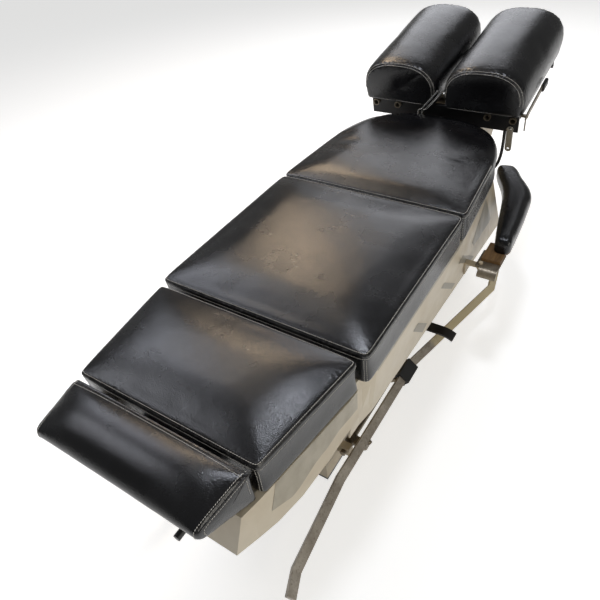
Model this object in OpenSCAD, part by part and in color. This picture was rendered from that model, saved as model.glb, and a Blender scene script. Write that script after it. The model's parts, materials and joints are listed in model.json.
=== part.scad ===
// Chiropractic table with a flexing leg section, a tilting split head rest, a pelvic drop,
// swinging arm rests and rocking foot bars.
// Millimetres, +Z up, +Y towards the head, +X to the right of a patient who lies face down.
// The origin is on the floor, on the centre line, below the gap between chest and pelvis.

/* [Body cushions] */
// Height of the top seams above the floor
seat_height = 560; // [520:5:640]
// Depth of the side walls of the cushions
boxing_depth = 80; // [64:2:96]
// Rise of a cushion's middle above its seam
cushion_crown = 14; // [4:1:24]
// Half width of the pelvic cushion
pelvic_half = 268; // [240:2:300]
// Length of the pelvic cushion
pelvic_length = 520; // [460:5:580]
// Half width of the chest cushion at the waist
chest_half_waist = 270; // [240:2:300]
// Half width of the chest cushion at the shoulders
chest_half_shoulder = 234; // [210:2:260]
// Length of the chest cushion
chest_length = 508; // [440:4:560]
// Half width of the leg cushion beside the pelvis
leg_half_head = 254; // [230:2:280]
// Half width of the leg cushion at the shins
leg_half_foot = 219; // [190:2:250]
// Length of the leg cushion
leg_length = 275; // [220:5:340]
// Half width of the ankle cushion at its back
foot_half_back = 214; // [180:2:240]
// Half width of the ankle cushion at its front
foot_half_front = 200; // [170:2:230]
// Length of the ankle cushion
foot_length = 113; // [90:1:140]
// Gap between the chest and pelvic cushions
waist_gap = 3; // [2:0.5:8]
// Gap between the pelvic and leg cushions
hip_gap = 14; // [10:1:24]
// Gap between the leg and ankle cushions
ankle_gap = 17; // [8:1:30]

/* [Head rest] */
// Length of a head cushion
head_length = 425; // [360:5:460]
// Height of a head cushion above its board
head_depth = 126; // [90:2:140]
// Half of the face slot between the two head cushions
head_slot_half = 9; // [7:1:40]
// Distance of a head cushion's outer side from the centre line
head_half = 262; // [220:2:270]
// Upward slope of the head rest as it is stored
head_slope = 8.5; // [0:0.5:12]

/* [Shell and pedestal] */
// Half width of the pedestal
pedestal_half = 137; // [125:1:160]
// Length of the pedestal
pedestal_length = 1040; // [900:10:1100]
// Thickness of the base plate
base_thickness = 8; // [5:1:14]
// Wall of the welded pedestal
pedestal_wall = 3; // [2:0.5:6]
// Half width of the body shell along its lower edge
shell_half = 250; // [240:2:270]
// Height of the shell's lower edge at its foot end
shell_low_foot = 332; // [300:2:350]
// Height of the shell's lower edge at its head end
shell_low_head = 243; // [200:2:300]
// Wall of the moulded shells
shell_wall = 4; // [3:0.5:6]
// Depth of the leg shell below the cushions' underside
leg_shell_depth = 100; // [80:2:120]

/* [Foot bars and pedal] */
// Height of the foot bars' middle above the floor
bar_height = 104; // [80:1:130]
// Width of a foot bar's broad face
bar_width = 24; // [20:1:40]
// Thickness of a foot bar
bar_thickness = 10; // [8:1:18]
// Inward lean of a foot bar's broad face
bar_lean = 40; // [0:5:60]

/* [Arm rests] */
// Height of the arm pads' top seam
arm_height = 396; // [360:2:420]
// Depth of an arm pad
arm_depth = 44; // [30:2:60]

/* [Hidden] */

// Colours as the photograph shows them
vinyl = [0.09, 0.09, 0.1];
beige = [0.78, 0.73, 0.63];
steel = [0.48, 0.46, 0.42];
black_steel = [0.12, 0.12, 0.13];
plywood = [0.72, 0.56, 0.36];
brown_board = [0.42, 0.29, 0.15];
bronze = [0.55, 0.4, 0.2];

// General clearances and overruns
cut_over = 1;
seat_gap = 0.3;
bore_gap = 0.05;
round_fn = 64;

// Levels that the cushions set
cushion_bottom = seat_height - boxing_depth;
board_thickness = 14;
board_bottom = cushion_bottom - board_thickness;
board_inset = 24;
frame_drop = 86;
rail_top = board_bottom - frame_drop;
rail_height = 50;
rail_bottom = rail_top - rail_height;
rim_drop = 3.5;
rim_level = cushion_bottom - rim_drop;

// Places of the cushions along the table
pelvic_head = -waist_gap / 2;
pelvic_foot = pelvic_head - pelvic_length;
leg_head = pelvic_foot - hip_gap;
leg_foot = leg_head - leg_length;
foot_head = leg_foot - ankle_gap;
foot_front = foot_head - foot_length;
chest_back = waist_gap / 2;
chest_front = chest_back + chest_length;

// Shape of the upholstery: corner squareness and the rings of one cushion
square_corner = 24;
shoulder_round = 2.6;
outline_steps = 40;
foot_pull = 7;
waist_pull = 5;
welt_pull = 1.5;
ring_shares = [0.985, 0.95, 0.86, 0.68, 0.44, 0.2];
crown_power = 2.6;

// A power of a number that keeps its sign
function signed_power(v, p) = sign(v) * pow(abs(v), p);

// Unit outline of a cushion: n_back rounds the two corners at -Y and n_front those at +Y
function unit_outline(n_back, n_front) = [
    for (i = [0 : outline_steps - 1])
        let (a = 360 * (i + 0.5) / outline_steps, n = sin(a) < 0 ? n_back : n_front)
            [signed_power(cos(a), 2 / n), signed_power(sin(a), 2 / n)]
];

// One ring: the outline drawn in by a length, then scaled, at a height that may slope along Y
function cushion_ring(outline, half_back, half_front, back, front, pull, share, low, high) = [
    for (p = outline)
        let (t = (p[1] + 1) / 2, half = half_back + (half_front - half_back) * t - pull,
             mid = (back + front) / 2, reach = (front - back) / 2 - pull)
            [p[0] * half * share, mid + p[1] * reach * share, low + (high - low) * t]
];

// Faces of a stack of rings with m points each, with a fan to a middle point at both ends
function stack_faces(m, n) = concat(
    [for (k = [0 : n - 2], i = [0 : m - 1])
        [k * m + i, (k + 1) * m + i, (k + 1) * m + (i + 1) % m]],
    [for (k = [0 : n - 2], i = [0 : m - 1])
        [k * m + i, (k + 1) * m + (i + 1) % m, k * m + (i + 1) % m]],
    [for (i = [0 : m - 1]) [n * m, i, (i + 1) % m]],
    [for (i = [0 : m - 1]) [n * m + 1, (n - 1) * m + (i + 1) % m, (n - 1) * m + i]]
);

function mean(points) = [for (a = [0 : 2]) [for (p = points) p[a]] * [for (p = points) 1]] / len(points);

module ring_solid(rings) {
    flat = [for (r = rings) for (p = r) p];
    polyhedron(
        points = concat(flat, [mean(rings[0]), mean(rings[len(rings) - 1])]),
        faces = stack_faces(len(rings[0]), len(rings))
    );
}

// A crowned cushion with drawn-in sides; levels are given at its -Y and +Y ends
module cushion(outline, half_back, half_front, back, front, low_back, low_front, top_back,
               top_front, crown) {
    deep_back = top_back - low_back;
    deep_front = top_front - low_front;
    side = [
        [foot_pull, 0], [welt_pull, 0.08], [waist_pull, 0.5], [welt_pull, 0.93], [0, 1]
    ];
    ring_solid(concat(
        [for (s = side)
            cushion_ring(outline, half_back, half_front, back, front, s[0], 1,
                low_back + deep_back * s[1], low_front + deep_front * s[1])],
        [for (s = ring_shares)
            cushion_ring(outline, half_back, half_front, back, front, 0, s,
                top_back + crown * (1 - pow(s, crown_power)),
                top_front + crown * (1 - pow(s, crown_power)))]
    ));
}

// A plywood board that follows a cushion's outline
module board(outline, half_back, half_front, back, front, inset, thickness) {
    ring = cushion_ring(outline, half_back, half_front, back, front, inset, 1, 0, 0);
    linear_extrude(thickness) polygon([for (p = ring) [p[0], p[1]]]);
}

square_outline = unit_outline(square_corner, square_corner);
chest_outline = unit_outline(square_corner, shoulder_round);

module chest_cushion() {
    color(vinyl)
        cushion(chest_outline, chest_half_waist, chest_half_shoulder, chest_back, chest_front,
            cushion_bottom, cushion_bottom, seat_height, seat_height, cushion_crown);
}

module chest_board() {
    color(plywood) translate([0, 0, board_bottom])
        board(chest_outline, chest_half_waist, chest_half_shoulder, chest_back, chest_front,
            board_inset, board_thickness);
}

module pelvic_cushion() {
    color(vinyl)
        cushion(square_outline, pelvic_half, pelvic_half, pelvic_foot, pelvic_head,
            cushion_bottom, cushion_bottom, seat_height, seat_height, cushion_crown);
}

module pelvic_board() {
    color(plywood) translate([0, 0, board_bottom])
        board(square_outline, pelvic_half, pelvic_half, pelvic_foot, pelvic_head,
            board_inset, board_thickness);
}

module leg_cushion() {
    color(vinyl)
        cushion(square_outline, leg_half_foot, leg_half_head, leg_foot, leg_head,
            cushion_bottom, cushion_bottom, seat_height, seat_height, cushion_crown);
}

module leg_board() {
    color(plywood) translate([0, 0, board_bottom])
        board(square_outline, leg_half_foot, leg_half_head, leg_foot, leg_head,
            board_inset, board_thickness);
}

// The ankle cushion is a wedge: its underside climbs towards its front
foot_front_depth = 32;
foot_front_drop = 7;
foot_board_thickness = 6;
foot_low_back = cushion_bottom - rim_drop;
foot_low_front = seat_height - foot_front_drop - foot_front_depth;
foot_rise = foot_low_front - foot_low_back;
function foot_board_low(y) =
    foot_low_back + foot_rise * (foot_head - foot_pull - y) / (foot_length - 2 * foot_pull)
        - foot_board_thickness;

module foot_cushion() {
    color(vinyl)
        cushion(square_outline, foot_half_front, foot_half_back, foot_front, foot_head,
            foot_low_front, foot_low_back, seat_height - foot_front_drop, seat_height,
            cushion_crown);
}

module foot_board() {
    slope = atan2(foot_rise, foot_length - 2 * foot_pull);
    y_low = foot_front + board_inset;
    y_high = foot_head - board_inset;
    thick = foot_board_thickness - seat_gap / cos(slope);
    color(plywood) rotate([90, 0, 90])
        translate([0, 0, board_inset - foot_half_front])
            linear_extrude(2 * (foot_half_front - board_inset))
                polygon([
                    [y_low, foot_board_low(y_low)], [y_high, foot_board_low(y_high)],
                    [y_high, foot_board_low(y_high) + thick],
                    [y_low, foot_board_low(y_low) + thick]
                ]);
}

// Pedestal and base
module base_plate() {
    color(black_steel)
        translate([-pedestal_half, -pedestal_length / 2, 0])
            cube([2 * pedestal_half, pedestal_length, base_thickness]);
}

module pedestal() {
    height = rail_bottom - base_thickness;
    color(beige) translate([-pedestal_half, -pedestal_length / 2, base_thickness])
        difference() {
            cube([2 * pedestal_half, pedestal_length, height]);
            translate([pedestal_wall, pedestal_wall, -cut_over])
                cube([2 * (pedestal_half - pedestal_wall), pedestal_length - 2 * pedestal_wall,
                    height - pedestal_wall + cut_over]);
        }
}

// Bed frame: two rails, cross beams, chest stands, drop guides and the hinge lugs
rail_inner = 82;
rail_wide = 30;
rail_outer = rail_inner + rail_wide;
rail_mid = rail_inner + rail_wide / 2;
rail_end_inset = 8;
rail_end = pedestal_length / 2 - rail_end_inset;
beam_size = 40;
foot_beam_in = 52;
head_beam_in = 72;
actuator_beam_y = -180;
neck_beam_y = 200;
beam_places = [-rail_end + foot_beam_in, actuator_beam_y, neck_beam_y, rail_end - head_beam_in];
stand_places = [chest_front * 0.18, chest_front * 0.78];
hinge_y = (pelvic_foot + leg_head) / 2;
hinge_drop = 16;
hinge_z = board_bottom - hinge_drop;
hinge_pin_r = 8;
lug_r = 15;
lug_thick = 10;
lug_play = 1;
lug_in = rail_mid - lug_thick / 2;
lug_foot = 32;
post_r = 8;
guide_r = 14;
guide_tall = 44;
guide_head_in = 108;
guide_foot_in = 110;
guide_places = [pelvic_head - guide_head_in, pelvic_foot + guide_foot_in];

module along_x(x, y, z, length) {
    translate([x, y, z]) rotate([0, 90, 0]) rotate([0, 0, 90]) linear_extrude(length) children();
}

module lug(y, z, radius, hole_r, foot_from, foot_to, foot_z) {
    difference() {
        union() {
            circle(r = radius, $fn = round_fn);
            polygon([
                [-radius, 0], [foot_from - y, foot_z - z], [foot_to - y, foot_z - z], [radius, 0]
            ]);
        }
        circle(r = hole_r, $fn = round_fn);
    }
}

module bed_frame() {
    color(black_steel) {
        for (side = [-1, 1]) {
            translate([side * rail_mid - rail_wide / 2, -rail_end, rail_bottom])
                cube([rail_wide, 2 * rail_end, rail_height]);
            for (y = stand_places)
                translate([side * rail_mid - rail_wide / 2, y - rail_wide / 2, rail_top])
                    cube([rail_wide, rail_wide, frame_drop]);
            for (y = guide_places)
                translate([side * rail_mid, y, rail_top]) difference() {
                    cylinder(r = guide_r, h = guide_tall, $fn = round_fn);
                    translate([0, 0, base_thickness / 2])
                        cylinder(r = post_r + bore_gap, h = guide_tall, $fn = round_fn);
                }
            along_x(side * rail_mid - lug_thick / 2, hinge_y, hinge_z, lug_thick)
                lug(hinge_y, hinge_z, lug_r, hinge_pin_r + bore_gap, -rail_end,
                    -rail_end + lug_foot, rail_top);
        }
        for (y = beam_places)
            translate([-rail_inner, y - beam_size / 2, rail_bottom])
                cube([2 * rail_inner, beam_size, beam_size]);
    }
}

module drop_posts() {
    color(steel) for (side = [-1, 1], y = guide_places)
        translate([side * rail_mid, y, rail_top + base_thickness / 2 + cut_over])
            cylinder(r = post_r, h = frame_drop - base_thickness / 2 - cut_over,
                $fn = round_fn);
}

// Moulded shells. A station is [rim x, rim y, rim z, low x, low y, low z].
flange = 16;
function unit2(v) = v / norm(v);
function low_xy(s) = [s[3], s[4]];
function inward(stations, i) =
    let (a = low_xy(stations[max(i - 1, 0)]),
         b = low_xy(stations[min(i + 1, len(stations) - 1)]), t = unit2(b - a))
        [-t[1], t[0], 0];
function wall_ring(s, n) =
    let (rim = [s[0], s[1], s[2]], low = [s[3], s[4], s[5]], drop = [0, 0, shell_wall])
        [low, low + n * shell_wall, rim + n * shell_wall - drop, rim + n * flange - drop,
         rim + n * flange, rim];
function wall_faces(n) =
    let (m = 6, e = (n - 1) * m)
        concat(
            [for (k = [0 : n - 2], i = [0 : m - 1])
                [k * m + i, (k + 1) * m + i, (k + 1) * m + (i + 1) % m]],
            [for (k = [0 : n - 2], i = [0 : m - 1])
                [k * m + i, (k + 1) * m + (i + 1) % m, k * m + (i + 1) % m]],
            [[0, 1, 2], [0, 2, 5], [2, 3, 4], [2, 4, 5]],
            [[e + 2, e + 1, e], [e + 5, e + 2, e], [e + 4, e + 3, e + 2], [e + 5, e + 4, e + 2]]
        );

module moulded_wall(stations) {
    rings = [for (i = [0 : len(stations) - 1]) wall_ring(stations[i], inward(stations, i))];
    polyhedron(points = [for (r = rings) for (p = r) p], faces = wall_faces(len(rings)));
}

// Body shell: the rim follows the cushions and the lower edge is straight up to the bow
shell_foot_reach = 35;
shell_foot_y = hinge_y - shell_foot_reach;
shell_lap_reach = 3;
shell_lap_y = hinge_y - shell_lap_reach;
lap_low_in = 10;
lap_rim_from = 4;
rim_full_from = 50;
bow_angles = [16, 32, 50, 64];
shell_lap_in = 9;
bow_y = chest_front * 0.906;
nose_y = chest_front * 1.177;
bow_gap_half = 124;
rim_reach = 3;
function shell_low(y) =
    shell_low_foot + (shell_low_head - shell_low_foot) * (y - shell_foot_y) / (bow_y - shell_foot_y);
function chest_half(t) = chest_half_waist + (chest_half_shoulder - chest_half_waist) * t;
function chest_rim(a) =
    let (v = pow(sin(a), 2 / shoulder_round), t = (v + 1) / 2)
        [chest_half(t) * pow(cos(a), 2 / shoulder_round) - rim_reach,
         chest_back + chest_length * t - rim_reach];
function body_station(rim, low) =
    [rim[0], rim[1], rim_level, low[0], low[1], shell_low(min(low[1], bow_y))];
chest_mid = chest_back + chest_length / 2;
waist_steps = 4;
function rim_half(y) = (y < 0 ? pelvic_half : chest_half(y / chest_mid / 2)) - rim_reach;
body_stations = [
    body_station([leg_half_head - shell_lap_in, shell_lap_y],
        [leg_half_head - lap_low_in, shell_foot_y]),
    body_station([leg_half_head - shell_lap_in, pelvic_foot + lap_rim_from],
        [leg_half_head - lap_low_in, pelvic_foot]),
    body_station([pelvic_half - rim_reach, pelvic_foot + rim_full_from],
        [shell_half, pelvic_foot + rim_full_from]),
    body_station([pelvic_half - rim_reach, pelvic_foot / 2], [shell_half, pelvic_foot / 2]),
    for (k = [0 : waist_steps])
        let (y = chest_mid * k / waist_steps) body_station([rim_half(y), y], [shell_half, y]),
    body_station(chest_rim(bow_angles[0]), [shell_half, (chest_mid + bow_y) / 2]),
    body_station(chest_rim(bow_angles[1]), [shell_half, bow_y]),
    body_station(chest_rim(bow_angles[2]), [(shell_half + bow_gap_half) / 2, (bow_y + nose_y) / 2]),
    body_station([bow_gap_half, chest_rim(bow_angles[3])[1]], [bow_gap_half, nose_y])
];

module shell_right() {
    color(beige) moulded_wall(body_stations);
}

module shell_left() {
    color(beige) mirror([1, 0, 0]) moulded_wall(body_stations);
}

module shell_front() {
    rim_in = 9.5;
    side_gap = 2;
    half = neck_in - side_gap;
    y_rim = chest_front - rim_in;
    flange = 13;
    color(beige) along_x(-half, 0, 0, 2 * half)
        polygon([
            [nose_y, shell_low_head], [y_rim, rim_level], [y_rim - flange, rim_level],
            [y_rim - flange, rim_level - shell_wall], [y_rim - shell_wall, rim_level - shell_wall],
            [nose_y - shell_wall, shell_low_head]
        ]);
}

// Outer half width of the body shell between the rim and the lower edge, on its straight run
function shell_side(y, z) =
    let (low = shell_low(y))
        shell_half + (rim_half(y) - shell_half) * (z - low) / (rim_level - low);

bracket_wide = 24;
bracket_thick = 6;
bracket_place_shares = [0.77, 0.75];
bracket_mid_y = -20;
bracket_drop = 10;
bracket_places = [
    pelvic_foot * bracket_place_shares[0], bracket_mid_y, chest_mid * bracket_place_shares[1]
];
module shell_brackets() {
    z = rail_top - bracket_thick - bracket_drop;
    color(black_steel) for (side = [-1, 1], y = bracket_places) {
        reach = shell_side(y, z) - shell_wall - cut_over;
        translate([side > 0 ? rail_outer : -reach, y - bracket_wide / 2, z])
            cube([reach - rail_outer, bracket_wide, bracket_thick]);
    }
}

// Leg shell: a tray whose nose is closed and whose head end laps over the body shell
leg_shell_low = cushion_bottom - leg_shell_depth;
leg_lap_reach = 8;
leg_rim_step = 3;
leg_nose_in = 43;
leg_nose_rim_in = 30;
leg_lap_y = hinge_y - leg_lap_reach;
leg_rim_level = rim_level - leg_rim_step;
leg_nose_y = foot_front + leg_nose_in;
leg_nose_rim_y = leg_nose_y + leg_nose_rim_in;
leg_nose_rise = 2;
carriage_notch_half = 92;
carriage_notch_depth = 50;
carriage_notch_low = cushion_bottom - carriage_notch_depth;
lap_out = 1;
lap_half = leg_half_head + lap_out;
lap_taper = 2;
lap_low_taper = 1;
lap_run = 36;
waist_in = 12;
waist_low_in = 4;
waist_run = 120;
hip_out = 10;
hip_low_in = 10;
hip_run = 66;
heel_out = 2;
heel_low_out = 13;
heel_run = 8;
heel_low_run = 2;
nose_out = 1;
nose_run = 10;
nose_low_in = 1;
nose_low_run = 42;
nose_rim_in = 4;
nose_low_out = 2;
notch_edge = 8;
notch_back = 14;
function leg_station(rim_x, rim_y, rise, low_x, low_y) =
    [rim_x, rim_y, leg_rim_level + rise, low_x, low_y, leg_shell_low];
leg_half_stations = [
    leg_station(lap_half, leg_lap_y, 0, lap_half - lap_taper, leg_lap_y),
    leg_station(lap_half - lap_taper, leg_lap_y - lap_run, 0, lap_half - lap_taper - lap_low_taper,
        leg_lap_y - lap_run),
    leg_station(leg_half_head - waist_in, leg_head - waist_run, 0, leg_half_head - waist_low_in,
        leg_head - waist_run),
    leg_station(leg_half_foot + hip_out, leg_foot + hip_run, 0, leg_half_head - hip_low_in,
        leg_foot + hip_run),
    leg_station(leg_half_foot + heel_out, leg_foot + heel_run, 0, leg_half_foot + heel_low_out,
        leg_foot + heel_low_run),
    leg_station(foot_half_back + nose_out, foot_head - nose_run, 0, leg_half_foot - nose_low_in,
        leg_foot - nose_low_run),
    leg_station(foot_half_back - nose_rim_in, leg_nose_rim_y, leg_nose_rise,
        foot_half_front + nose_low_out, leg_nose_y),
    leg_station(carriage_notch_half + notch_edge, leg_nose_rim_y, leg_nose_rise,
        carriage_notch_half + notch_edge,
        leg_nose_y)
];
notch_station = [
    carriage_notch_half, leg_nose_rim_y - notch_back, carriage_notch_low,
    carriage_notch_half, leg_nose_y,
    leg_shell_low
];
function mirror_station(s) = [-s[0], s[1], s[2], -s[3], s[4], s[5]];
leg_stations = concat(
    [for (s = leg_half_stations) mirror_station(s)],
    [mirror_station(notch_station), notch_station],
    [for (i = [len(leg_half_stations) - 1 : -1 : 0]) leg_half_stations[i]]
);

module leg_shell() {
    color(beige) moulded_wall(leg_stations);
}

// Leg frame: arms on the hinge, cross tubes, slide blocks for the ankle tubes and the lever
arm_gap = 1.5;
arm_in = lug_in + lug_thick + arm_gap;
arm_wide = 25;
arm_tall = 25;
arm_low = board_bottom - arm_tall;
arm_from = leg_head - board_inset;
arm_end_gap = 2;
arm_to = leg_foot + arm_end_gap;
slide_x = 60;
slide_r = 9;
slide_rise = 10;
slide_z = arm_low + slide_rise;
slide_travel = 120;
slide_near_run = 206;
slide_far_out = 1;
slide_blocks = [leg_head - slide_near_run, leg_foot - slide_far_out];
slide_block_long = 20;
slide_tube_run = 46;
slide_tube_from = leg_head - slide_tube_run;
lever_reach = 33;
lever_drop = 45;
lever_y = hinge_y - lever_reach;
lever_z = hinge_z - lever_drop;
lever_in = 13;
lever_thick = 6;
lever_pin_r = 6;
lever_beam = 20;
tie_wide = 30;
tie_thick = 5;
tie_runs = [86, 236];
tie_places = [for (run = tie_runs) leg_head - run];
pin_proud = 3;
tie_half_shares = [0.962, 0.888];

module leg_frame() {
    color(black_steel) {
        for (side = [-1, 1]) {
            x = side > 0 ? arm_in : -arm_in - arm_wide;
            translate([x, arm_to, arm_low]) cube([arm_wide, arm_from - arm_to, arm_tall]);
            along_x(side > 0 ? arm_in : -arm_in - lug_thick, hinge_y, hinge_z, lug_thick)
                difference() {
                    union() {
                        circle(r = lug_r - lug_play, $fn = round_fn);
                        polygon([
                            [arm_from - hinge_y - cut_over, arm_low - hinge_z],
                            [0, -lug_r + lug_play], [0, lug_r - lug_play],
                            [arm_from - hinge_y - cut_over, arm_low + arm_tall - hinge_z]
                        ]);
                    }
                    circle(r = hinge_pin_r, $fn = round_fn);
                }
            along_x(side > 0 ? lever_in : -lever_in - lever_thick, lever_y, lever_z, lever_thick)
                lug(lever_y, lever_z, 2 * lever_pin_r, lever_pin_r, lever_y - lever_beam / 2,
                    lever_y + lever_beam / 2, arm_low + cut_over);
        }
        translate([-arm_in, lever_y - lever_beam / 2, arm_low])
            cube([2 * arm_in, lever_beam, lever_beam]);
        for (y = slide_blocks) difference() {
            translate([-arm_in, y - slide_block_long, arm_low - tie_thick])
                cube([2 * arm_in, slide_block_long, arm_tall + tie_thick - 1]);
            for (x = [-slide_x, slide_x])
                translate([x, y + cut_over, slide_z]) rotate([90, 0, 0])
                    cylinder(r = slide_r + bore_gap, h = slide_block_long + 2 * cut_over,
                        $fn = round_fn);
        }
        for (k = [0, 1])
            translate([-shell_half * tie_half_shares[k], tie_places[k] - tie_wide / 2,
                       arm_low - tie_thick])
                cube([2 * shell_half * tie_half_shares[k], tie_wide, tie_thick]);
    }
}

module leg_pins() {
    color(steel) {
        translate([-arm_in - lug_thick - pin_proud, hinge_y, hinge_z]) rotate([0, 90, 0])
            cylinder(r = hinge_pin_r, h = 2 * (arm_in + lug_thick + pin_proud), $fn = round_fn);
        translate([-lever_in - lever_thick - pin_proud, lever_y, lever_z]) rotate([0, 90, 0])
            cylinder(r = lever_pin_r, h = 2 * (lever_in + lever_thick + pin_proud), $fn = round_fn);
    }
}

// Ankle section: tubes, carriage bracket and release lever
bracket_in = 34;
bracket_y = foot_head - bracket_in;
bracket_long = 20;
bracket_edge = 6;
bracket_under = 3;
bracket_half = slide_x + slide_r + bracket_edge;
foot_lever_x = 140;
foot_lever_in = 54;
foot_lever_drop = 12;
foot_lever_y = foot_front + foot_lever_in;
foot_lever_z = foot_board_low(foot_lever_y) - foot_lever_drop;
foot_lever_r = 4;
foot_lever_long = 62;
ear_thick = 5;
ear_half = 8;
ear_apart = 10;
foot_grip_long = 26;
foot_grip_lap = 24;

module foot_tubes() {
    color(steel) for (x = [-slide_x, slide_x]) difference() {
        translate([x, slide_tube_from, slide_z]) rotate([90, 0, 0])
            cylinder(r = slide_r, h = slide_tube_from - bracket_y + bracket_long, $fn = round_fn);
        translate([x, slide_tube_from + cut_over, slide_z]) rotate([90, 0, 0])
            cylinder(r = slide_r - 2, h = slide_tube_from - bracket_y, $fn = round_fn);
    }
}

module foot_bracket() {
    low = slide_z - slide_r - bracket_under;
    near = bracket_y - bracket_long;
    color(black_steel) {
        difference() {
            along_x(-bracket_half, 0, 0, 2 * bracket_half)
                polygon([
                    [bracket_y, low], [near, low],
                    [near, foot_board_low(near) - seat_gap],
                    [bracket_y, foot_board_low(bracket_y) - seat_gap]
                ]);
            for (x = [-slide_x, slide_x])
                translate([x, bracket_y + cut_over, slide_z]) rotate([90, 0, 0])
                    cylinder(r = slide_r, h = bracket_long + 2 * cut_over, $fn = round_fn);
        }
        for (side = [0, 1])
            along_x(foot_lever_x - ear_thick - ear_apart / 2 + side * (ear_thick + ear_apart),
                0, 0, ear_thick)
                difference() {
                    polygon([
                        [foot_lever_y - ear_half, foot_lever_z - ear_half],
                        [foot_lever_y + ear_half, foot_lever_z - ear_half],
                        [foot_lever_y + ear_half, foot_board_low(foot_lever_y + ear_half) - seat_gap],
                        [foot_lever_y - ear_half, foot_board_low(foot_lever_y - ear_half) - seat_gap]
                    ]);
                    translate([foot_lever_y, foot_lever_z])
                        circle(r = foot_lever_r + bore_gap, $fn = round_fn);
                }
    }
}

module foot_lever() {
    color(black_steel) {
        translate([foot_lever_x - ear_thick - ear_apart / 2, foot_lever_y, foot_lever_z])
            rotate([0, 90, 0])
                cylinder(r = foot_lever_r, h = 2 * ear_thick + ear_apart, $fn = round_fn);
        translate([foot_lever_x, foot_lever_y, foot_lever_z]) rotate([90, 0, 0])
            cylinder(r = foot_lever_r, h = foot_lever_long, $fn = round_fn);
        translate([foot_lever_x, foot_lever_y - foot_lever_long + foot_grip_lap, foot_lever_z])
            rotate([90, 0, 0]) cylinder(r = 1.7 * foot_lever_r, h = foot_grip_long, $fn = round_fn);
    }
}

// Flexion actuator between the bed frame and the leg frame's lever
actuator_out = 18;
actuator_y = beam_places[1] - actuator_out;
actuator_pin_r = 6;
tube_r = 20;
rod_r = 10;
tube_eye_reach = 16;
tube_end_reach = 140;
tube_wall_end = 12;
tube_from = actuator_y - tube_eye_reach;
tube_to = lever_y + tube_end_reach;
eye_half = 10;
eye_r = 13;
eye_play = 1.2;
motor_r = 22;
motor_gap = 0.5;
motor_x = -(tube_r + motor_r + motor_gap);
lug_near = 2;
lug_far = 8;
rod_in = 46;

module actuator_bracket() {
    color(black_steel) {
        for (side = [0, 1])
            along_x(side > 0 ? lever_in : -lever_in - lever_thick, actuator_y, lever_z, lever_thick)
                lug(actuator_y, lever_z, 2 * actuator_pin_r, actuator_pin_r,
                    actuator_y - lug_near, actuator_y + beam_size / 2 + lug_far,
                    rail_bottom + beam_size);
        translate([-lever_in - lever_thick - pin_proud, actuator_y, lever_z]) rotate([0, 90, 0])
            cylinder(r = actuator_pin_r, h = 2 * (lever_in + lever_thick + pin_proud), $fn = round_fn);
    }
}

module actuator_tube() {
    color(steel) {
        difference() {
            translate([0, tube_from, lever_z]) rotate([90, 0, 0])
                cylinder(r = tube_r, h = tube_from - tube_to, $fn = round_fn);
            translate([0, tube_from - tube_wall_end, lever_z]) rotate([90, 0, 0])
                cylinder(r = rod_r + bore_gap, h = tube_from - tube_to, $fn = round_fn);
        }
        along_x(-eye_half, actuator_y, lever_z, 2 * eye_half) difference() {
            union() {
                circle(r = eye_r, $fn = round_fn);
                translate([tube_from - actuator_y - cut_over, -eye_half])
                    square([actuator_y - tube_from, 2 * eye_half]);
            }
            circle(r = actuator_pin_r + bore_gap, $fn = round_fn);
        }
    }
}

module actuator_motor() {
    gear_in = 8;
    gear_long = 44;
    motor_long = 100;
    motor_step = 2;
    gear_y = tube_from - gear_in;
    color(black_steel) {
        translate([motor_x - motor_r, gear_y - gear_long, lever_z - motor_r])
            cube([2 * motor_r, gear_long, 2 * motor_r]);
        translate([motor_x, gear_y - gear_long, lever_z]) rotate([90, 0, 0])
            cylinder(r = motor_r - motor_step, h = motor_long, $fn = round_fn);
    }
}

module actuator_rod() {
    rod_to = lever_y + eye_r - 2;
    color(steel) {
        translate([0, tube_from - rod_in, lever_z]) rotate([90, 0, 0])
            cylinder(r = rod_r, h = tube_from - rod_in - rod_to, $fn = round_fn);
        along_x(-eye_half, lever_y, lever_z, 2 * eye_half) difference() {
            circle(r = eye_r, $fn = round_fn);
            circle(r = lever_pin_r + eye_play, $fn = round_fn);
        }
    }
}

// Neck: two swan-neck plates on the rails that carry the head rest's pivot
tilt_y = chest_front + 90;
tilt_rise = 90;
tilt_z = cushion_bottom + tilt_rise;
neck_thick = 6;
neck_in = rail_outer;
neck_over = 18;
neck_top = tilt_z + neck_over;
neck_round = 15;
neck_reach = 160;
neck_back = tilt_y + neck_reach;
neck_root_in = 80;
neck_heel_rise = 20;
neck_throat_in = 42;
neck_throat_rise = 72;
neck_near = 29;
neck_near_rise = 100;
neck_far = 25;
neck_back_drop = 42;
neck_back_rise = 90;
neck_sole = 40;
spacer_r = 9;
spacer_far = 118;
spacer_far_drop = 60;
spacer_near = 60;
spacer_near_rise = 60;
cover_drop = 46;
cover_rise = 1;
cover_sole_in = 2;
cover_sole_rise = 4;
cover_fold = 2;
shaft_r = 10;
bush_r = 14;
bush_flange_r = 17;
bush_flange = 2.5;

module neck_outline() {
    root = chest_front - neck_root_in;
    difference() {
        union() {
            polygon([
                [root, rail_bottom], [root, rail_top + neck_heel_rise],
                [tilt_y - neck_throat_in, rail_top + neck_throat_rise],
                [tilt_y - neck_near, rail_top + neck_near_rise],
                [tilt_y - neck_near, neck_top - neck_round],
                [tilt_y - neck_near + neck_round, neck_top], [tilt_y + neck_far, neck_top],
                [neck_back, tilt_z - neck_back_drop], [neck_back, rail_top + neck_back_rise],
                [tilt_y + neck_sole, rail_bottom]
            ]);
            translate([tilt_y - neck_near + neck_round, neck_top - neck_round])
                circle(r = neck_round, $fn = round_fn);
        }
        translate([tilt_y, tilt_z]) circle(r = bush_r, $fn = round_fn);
    }
}

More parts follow.
